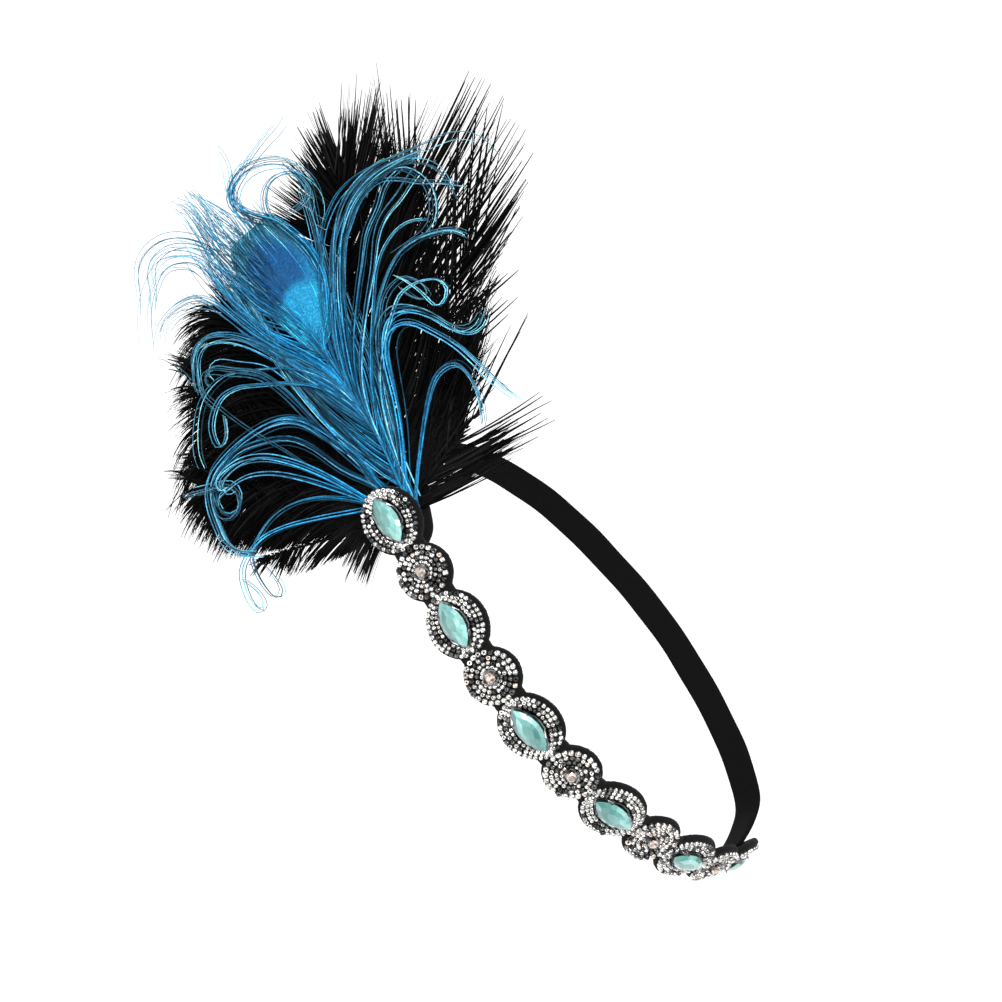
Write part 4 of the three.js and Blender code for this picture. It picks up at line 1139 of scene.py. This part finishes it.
def tress_paths(tress, steps=TRESS_STEPS, fine=TRESS_FINE):
    n = tress["strands"]
    traced_t, traced_z, angle = traced_run(tress["trace"], fine)
    middle_t = traced_t[None] - traced_t[0]
    middle_z = traced_z[None] - traced_z[0]
    v = np.linspace(0, 1, fine)
    side = np.linspace(-0.5, 0.5, n) + rng.normal(0, 0.5 / n, n)
    width = np.interp(v, [0, 0.5, 1], tress["widths"])[None, :]
    waver = rng.normal(0, 0.12, (n, 1)) * width * np.sin(v * rng.uniform(3, 9, (n, 1)))
    offset = side[:, None] * width + waver
    angle = smooth_row(angle[None], 4)
    t = middle_t - np.sin(angle) * offset
    z = middle_z + np.cos(angle) * offset
    turn = np.radians(rng.normal(0, 0.8, (n, 1)))
    grow = 1 + rng.normal(0, 0.012, (n, 1))
    t, z = (np.cos(turn) * t - np.sin(turn) * z) * grow, (np.sin(turn) * t + np.cos(turn) * z) * grow
    t, z = t + traced_t[0], z + traced_z[0]
    shorter = 1 - tress.get("fray", USUAL_FRAY) * rng.uniform(0, 1, n) ** 1.5
    t = np.stack([np.interp(v * part, v, row) for part, row in zip(shorter, t)])
    z = np.stack([np.interp(v * part, v, row) for part, row in zip(shorter, z)])
    start_t, start_z = t[:, 0], z[:, 0]
    spread = tress["widths"][0]
    leave = np.clip(tress["leave"] + rng.normal(0, 0.02 + 0.015 * spread, n), 0.0, 0.98)
    from_t, from_z, from_heading = blue_quill(leave)
    at_hub = np.clip(1 - leave * 8, 0, 1)
    from_t = from_t + rng.normal(0, 1.0, n) * at_hub
    from_z = from_z + (rng.normal(0, 1.2, n) + np.clip(start_z - from_z, -2.5, 2.5)) * at_hub
    gap = np.hypot(start_t - from_t, start_z - from_z)
    u = np.linspace(0, 1, LEAVING_STEPS, endpoint=False)[None, :]
    reach = (gap * LEAVING_REACH)[:, None]
    h0 = np.radians(from_heading)[:, None]
    h1 = np.broadcast_to(angle[:, :1], (n, 1))
    points = []
    for a, b, trig in ((from_t, start_t, np.cos), (from_z, start_z, np.sin)):
        p0, p3 = a[:, None], b[:, None]
        p1, p2 = p0 + reach * trig(h0), p3 - reach * trig(h1)
        near = (1 - u) ** 3 * p0 + 3 * (1 - u) ** 2 * u * p1
        points.append(near + 3 * (1 - u) * u ** 2 * p2 + u ** 3 * p3)
    return resample(np.concatenate([points[0], t], 1), np.concatenate([points[1], z], 1), steps)


def blue_strands(name, t, z, radius, lift, jitter, tip=0.3, painted_light_range=(0.22, 2.3), rise=0.0):
    n, k = t.shape
    v = np.broadcast_to(np.linspace(0, 1, k), (n, k))
    fan = fan_share(t, z)
    stray = (rng.normal(0, jitter, (n, 1)) + rise * v) * v
    out = BLUE_MIDDLE + BLUE_LIFT * fan + lift * np.minimum(1, fan * EXTRA_ONSET) + stray
    paths = plume_point(t, z, out)
    widths = radius * (1 - (1 - tip) * v ** 2) * rng.uniform(0.8, 1.2, (n, 1))
    # Painted highlight and shade: each strand, and places along it, made lighter or darker in colour
    painted_light_and_shade = painted_light_range[0] + (painted_light_range[1] - painted_light_range[0]) * rng.uniform(size=(n, 1, 1)) ** 1.8
    painted_light_and_shade = painted_light_and_shade * (1 + 0.3 * rng.normal(size=(n, k, 1))).clip(0.5, 1.7)
    # A few strands blended pale along stretches: painted highlight lines
    pale = (rng.uniform(size=(n, 1)) < HIGHLIGHT_STRAND_SHARE) * rng.uniform(0.1, 0.6, (n, k))
    tint = (blend_to(blue_colour(t, z, v), BLUE_PALE, pale) * painted_light_and_shade).clip(0, 1)
    thing = strand_object(name, paths, widths, widths, tint, HUB_OUTWARD)
    return place_piece(thing, BLUE_FEATHER, "blue_feather", "peacock_feather")


# Each group of tresses: its name, its rows, its strands' radius, the share of it left at their tips,
# their range of painted highlight and shade, and how far they rise towards their ends
TRESS_GROUPS = (
    ("lower", LOWER_TRESSES, 0.28, 0.5, (0.2, 2.3), 2.5),
    ("upper", UPPER_TRESSES, 0.27, 0.45, (0.2, 2.3), 2.5),
    ("tip", TIP_TRESSES, 0.22, 0.35, (0.5, 2.4), 1.0))
TRESS_JITTER = 1.4


def make_tresses():
    for group, chosen, radius, tip, painted_light_range, rise in TRESS_GROUPS:
        rows = [tress_paths(tress) for tress in chosen.values()]
        t = np.concatenate([row[0] for row in rows])
        z = np.concatenate([row[1] for row in rows])
        blue_strands("blue_tresses_" + group, t, z, radius, TRESS_LIFT, TRESS_JITTER, tip, painted_light_range, rise)


# The vane's two sides: (side, strands, opening at the root, opening at their ends, length)
VANE_SIDES = ((1, 50, 27, 8, 58), (-1, 112, 34, 4, 62))


def make_vane_barbs():
    """Close barbs on both sides of the quill, up to the eye."""
    parts = []
    for side, count, opening, closing, length in VANE_SIDES:
        share = np.sort(rng.uniform(0.06, 0.8, count))
        t0, z0, heading = blue_quill(share)
        v = np.linspace(0, 1, 16)[None, :]
        first = opening + (16 if side > 0 else 28) * np.clip(share - 0.4, 0, 1) / 0.4
        bent = closing + (first - closing)[:, None] * (1 - v) ** 1.3
        headings = heading[:, None] + side * bent * (1 + rng.normal(0, 0.07, (count, 1)))
        headings = headings + rng.normal(0, 5, (count, 1)) * v ** 3
        reach = length * (0.8 + 0.1 * share) * (1 + rng.normal(0, 0.1, count))
        t, z = walk(t0, z0, reach, headings)
        parts.append((clump(t, 3, 0.5), clump(z, 3, 0.5)))
    t, z = [np.concatenate(column) for column in zip(*parts)]
    blue_strands("blue_vane_barbs", t, z, radius=0.22, lift=0.3, jitter=0.7)


def make_eye():
    """The eye's closed vane and the barbs lying on it."""
    rows = EYE_ROWS
    columns = EYE_COLUMNS
    u = np.linspace(0, 1, rows)[:, None]
    w = np.linspace(-1, 1, columns)[None, :]
    t, z = eye_place(u, w)
    crown = EYE_CROWN * (1 - w ** 2) * np.sin(math.pi * u)
    lie = BLUE_MIDDLE + BLUE_LIFT * fan_share(t, z) + crown + 0.6
    front = plume_point(t, z, lie)
    rear = plume_point(t, z, lie - EYE_THICKNESS)
    tint = blue_colour(t, z, 0 * t).reshape(-1, 3)
    grid = (np.arange(rows - 1)[:, None] * columns + np.arange(columns - 1)[None, :]).ravel()
    quads = np.stack([grid, grid + 1, grid + columns + 1, grid + columns], 1)
    offset = rows * columns
    loop = np.concatenate([np.arange(columns), np.arange(1, rows) * columns + columns - 1,
                           offset - 2 - np.arange(columns - 1), (np.arange(rows - 2, 0, -1)) * columns])
    ahead = np.roll(loop, -1)
    rim = np.stack([loop, ahead, ahead + offset, loop + offset], 1)
    vertices = np.concatenate([front.reshape(-1, 3), rear.reshape(-1, 3)])
    faces = [quads[:, ::-1], quads + offset, rim]
    eye = mesh_object("blue_eye", vertices, faces, True, np.concatenate([tint, tint]))
    place_piece(eye, BLUE_FEATHER, "blue_feather", "peacock_feather")

    count = EYE_BARBS
    share = np.linspace(0, 1, 24)[None, :]
    side = np.sort(rng.uniform(-1.0, 0.97, count))[:, None]
    t, z = eye_place(0.02 + share * rng.uniform(0.9, 1.15, (count, 1)), side)
    blue_strands("blue_eye_barbs", t, z, radius=0.17, lift=0.85, jitter=0.05, painted_light_range=(0.75, 1.2))
    side = np.array(EYE_LINES)[:, 0:1]
    start = np.array(EYE_LINES)[:, 1:2]
    t, z = eye_place(start + (1.0 - start) * share, side)
    # The eye's pale lines: strands given a strong painted highlight
    blue_strands("blue_eye_lines", t, z, radius=0.17, lift=1.1, jitter=0.02, tip=0.5, painted_light_range=(3.5, 5.0))


def edge_run(pixels):
    """A traced edge in the plume plane, as (t, z) rows."""
    rows = np.array([photo_to_plume(x, y, BLUE_MIDDLE, BLUE_LIFT, TRESS_LIFT) for x, y in pixels])
    return rows[np.argsort(rows[:, 0])]


EYE_RIGHT_RUN = edge_run(EYE_RIGHT_EDGE)
EYE_LEFT_RUN = edge_run(EYE_LEFT_EDGE)


def eye_place(u, w):
    """The place at share u up the eye, and w from -1 at its left edge to 1 at its right one."""
    low, high = EYE_LEFT_RUN[0, 0], max(EYE_LEFT_RUN[-1, 0], EYE_RIGHT_RUN[-1, 0])
    length = high - low
    at = low + length * np.clip(u, 0, 1)
    fine = np.linspace(low, high, 120)
    left = np.interp(fine, EYE_LEFT_RUN[:, 0], EYE_LEFT_RUN[:, 1])
    right = np.interp(fine, EYE_RIGHT_RUN[:, 0], EYE_RIGHT_RUN[:, 1])
    middle = smooth_row((left + right)[None] / 2, 30)[0]
    half = smooth_row((right - left)[None] / 2, 6)[0]
    past = np.maximum(0, u - 1) * length
    t = at + past + 0 * w
    z = np.interp(at, fine, middle) - 0.15 * past + np.interp(at, fine, half) * w
    return t, z


def make_blue_quill():
    share = np.linspace(0, 1, 40)
    t, z, _ = blue_quill(share)
    out = BLUE_MIDDLE + BLUE_LIFT * fan_share(t, z) + 0.5
    path = plume_point(t, z, out)[None]
    widths = (0.6 * (1 - 0.7 * share))[None]
    tint = np.zeros((1, 40, 3)) + BLUE_MID
    thing = strand_object("blue_quill", path, widths, widths * 0.7, tint, HUB_OUTWARD)
    return place_piece(thing, BLUE_FEATHER, "blue_feather", "peacock_feather")


# Assembly

make_felt()
make_patch()
make_elastic()
for index in range(MEDALLION_COUNT):
    number = index // 2 + 1
    if index % 2 == 0:
        make_stone(index, f"long_stone_{number}", f"marquise_stone_{number}", long_outline,
                   LONG_STONE_LAYERS, TURQUOISE, "turquoise_stone")
        make_beads(index, f"oval_beads_{number}", f"marquise_bead_bed_{number}")
    else:
        make_stone(index, f"round_stone_{number}", f"rhinestone_{number}", round_outline,
                   ROUND_STONE_LAYERS, CRYSTAL, "pale_crystal")
        make_beads(index, f"round_beads_{number}", f"round_bead_bed_{number}")
for feather in BLACK_FEATHERS:
    make_black_feather(feather)
make_black_shafts()
make_blue_quill()
make_eye()
make_vane_barbs()
make_tresses()
for node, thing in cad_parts.items():
    if "setting" in node:
        thing.data.materials.clear()
        thing.data.materials.append(SILVER)


# Camera, lights and floor

CLIP_RANGE = (0.01, 400.0)
LIT_PLACE = (-0.05, 0.0, 0.0)
FLOOR_HEIGHT = -1.0
FLOOR_REACH = 120000.0
WORLD_STRENGTH = 0.9
SKY_STOPS = [
    (0.45, (0.9, 0.9, 0.9)), (0.52, (0.12, 0.12, 0.13)), (0.7, (0.16, 0.16, 0.17)), (0.85, (1.0, 1.0, 1.0))]


def make_camera():
    camera = bpy.data.cameras.new("camera")
    camera.lens = CAMERA_LENS
    camera.sensor_width = SENSOR_WIDTH
    camera.clip_start = CLIP_RANGE[0]
    camera.clip_end = CLIP_RANGE[1]
    thing = bpy.data.objects.new("camera", camera)
    right = Vector(CAMERA_RIGHT).normalized()
    up = -Vector(CAMERA_DOWN)
    up = (up - right * up.dot(right)).normalized()
    back = right.cross(up)
    turn = Matrix((right, up, back)).transposed().to_4x4()
    thing.matrix_world = Matrix.Translation(Vector(CAMERA_PLACE) * MM) @ turn
    bpy.context.scene.collection.objects.link(thing)
    bpy.context.scene.camera = thing


def make_light(name, place, target, size, power):
    light = bpy.data.lights.new(name, "AREA")
    light.shape = "DISK"
    light.size = size
    light.energy = power
    thing = bpy.data.objects.new(name, light)
    thing.location = place
    thing.rotation_euler = (Vector(target) - Vector(place)).to_track_quat("-Z", "Y").to_euler()
    bpy.context.scene.collection.objects.link(thing)


def make_stage():
    material, tree, shader = new_material("pale_floor")
    grain = noise(tree, coordinates(tree), scale=3.0, detail=2.0)
    colour = ramp(tree, grain, [(0.2, (0.93, 0.93, 0.93)), (0.8, (0.96, 0.96, 0.96))])
    tree.links.new(colour, shader.inputs["Base Color"])
    shader.inputs["Roughness"].default_value = 0.9
    corners = [(x * FLOOR_REACH, y * FLOOR_REACH, 0) for x, y in ((-1, -1), (1, -1), (1, 1), (-1, 1))]
    floor = mesh_object("floor", corners, [[(0, 1, 2, 3)]])
    floor.location.z = FLOOR_HEIGHT
    floor.data.materials.append(material)
    world = bpy.data.worlds.new("studio")
    world.use_nodes = True
    tree = world.node_tree
    split = add_node(tree, "ShaderNodeSeparateXYZ")
    tree.links.new(coordinates(tree, "Generated"), split.inputs["Vector"])
    height = add_node(tree, "ShaderNodeMapRange")
    height.inputs["From Min"].default_value = -1.0
    tree.links.new(split.outputs["Z"], height.inputs["Value"])
    sky = ramp(tree, height.outputs["Result"], SKY_STOPS)
    tree.links.new(sky, tree.nodes["Background"].inputs["Color"])
    tree.nodes["Background"].inputs["Strength"].default_value = WORLD_STRENGTH
    bpy.context.scene.world = world


def make_sun(name, towards, strength, blur):
    light = bpy.data.lights.new(name, "SUN")
    light.energy = strength
    light.angle = math.radians(blur)
    thing = bpy.data.objects.new(name, light)
    thing.rotation_euler = Vector(towards).to_track_quat("-Z", "Y").to_euler()
    bpy.context.scene.collection.objects.link(thing)


make_camera()
make_stage()
bpy.context.scene.view_settings.view_transform = "Standard"
make_sun("key", towards=(0.45, 0.75, -1.0), strength=2.6, blur=12.0)
make_light("window", place=(-0.75, -0.55, 0.55), target=LIT_PLACE, size=0.35, power=3.0)
make_light("rim", place=(-0.4, 0.9, 0.9), target=LIT_PLACE, size=0.7, power=4.0)
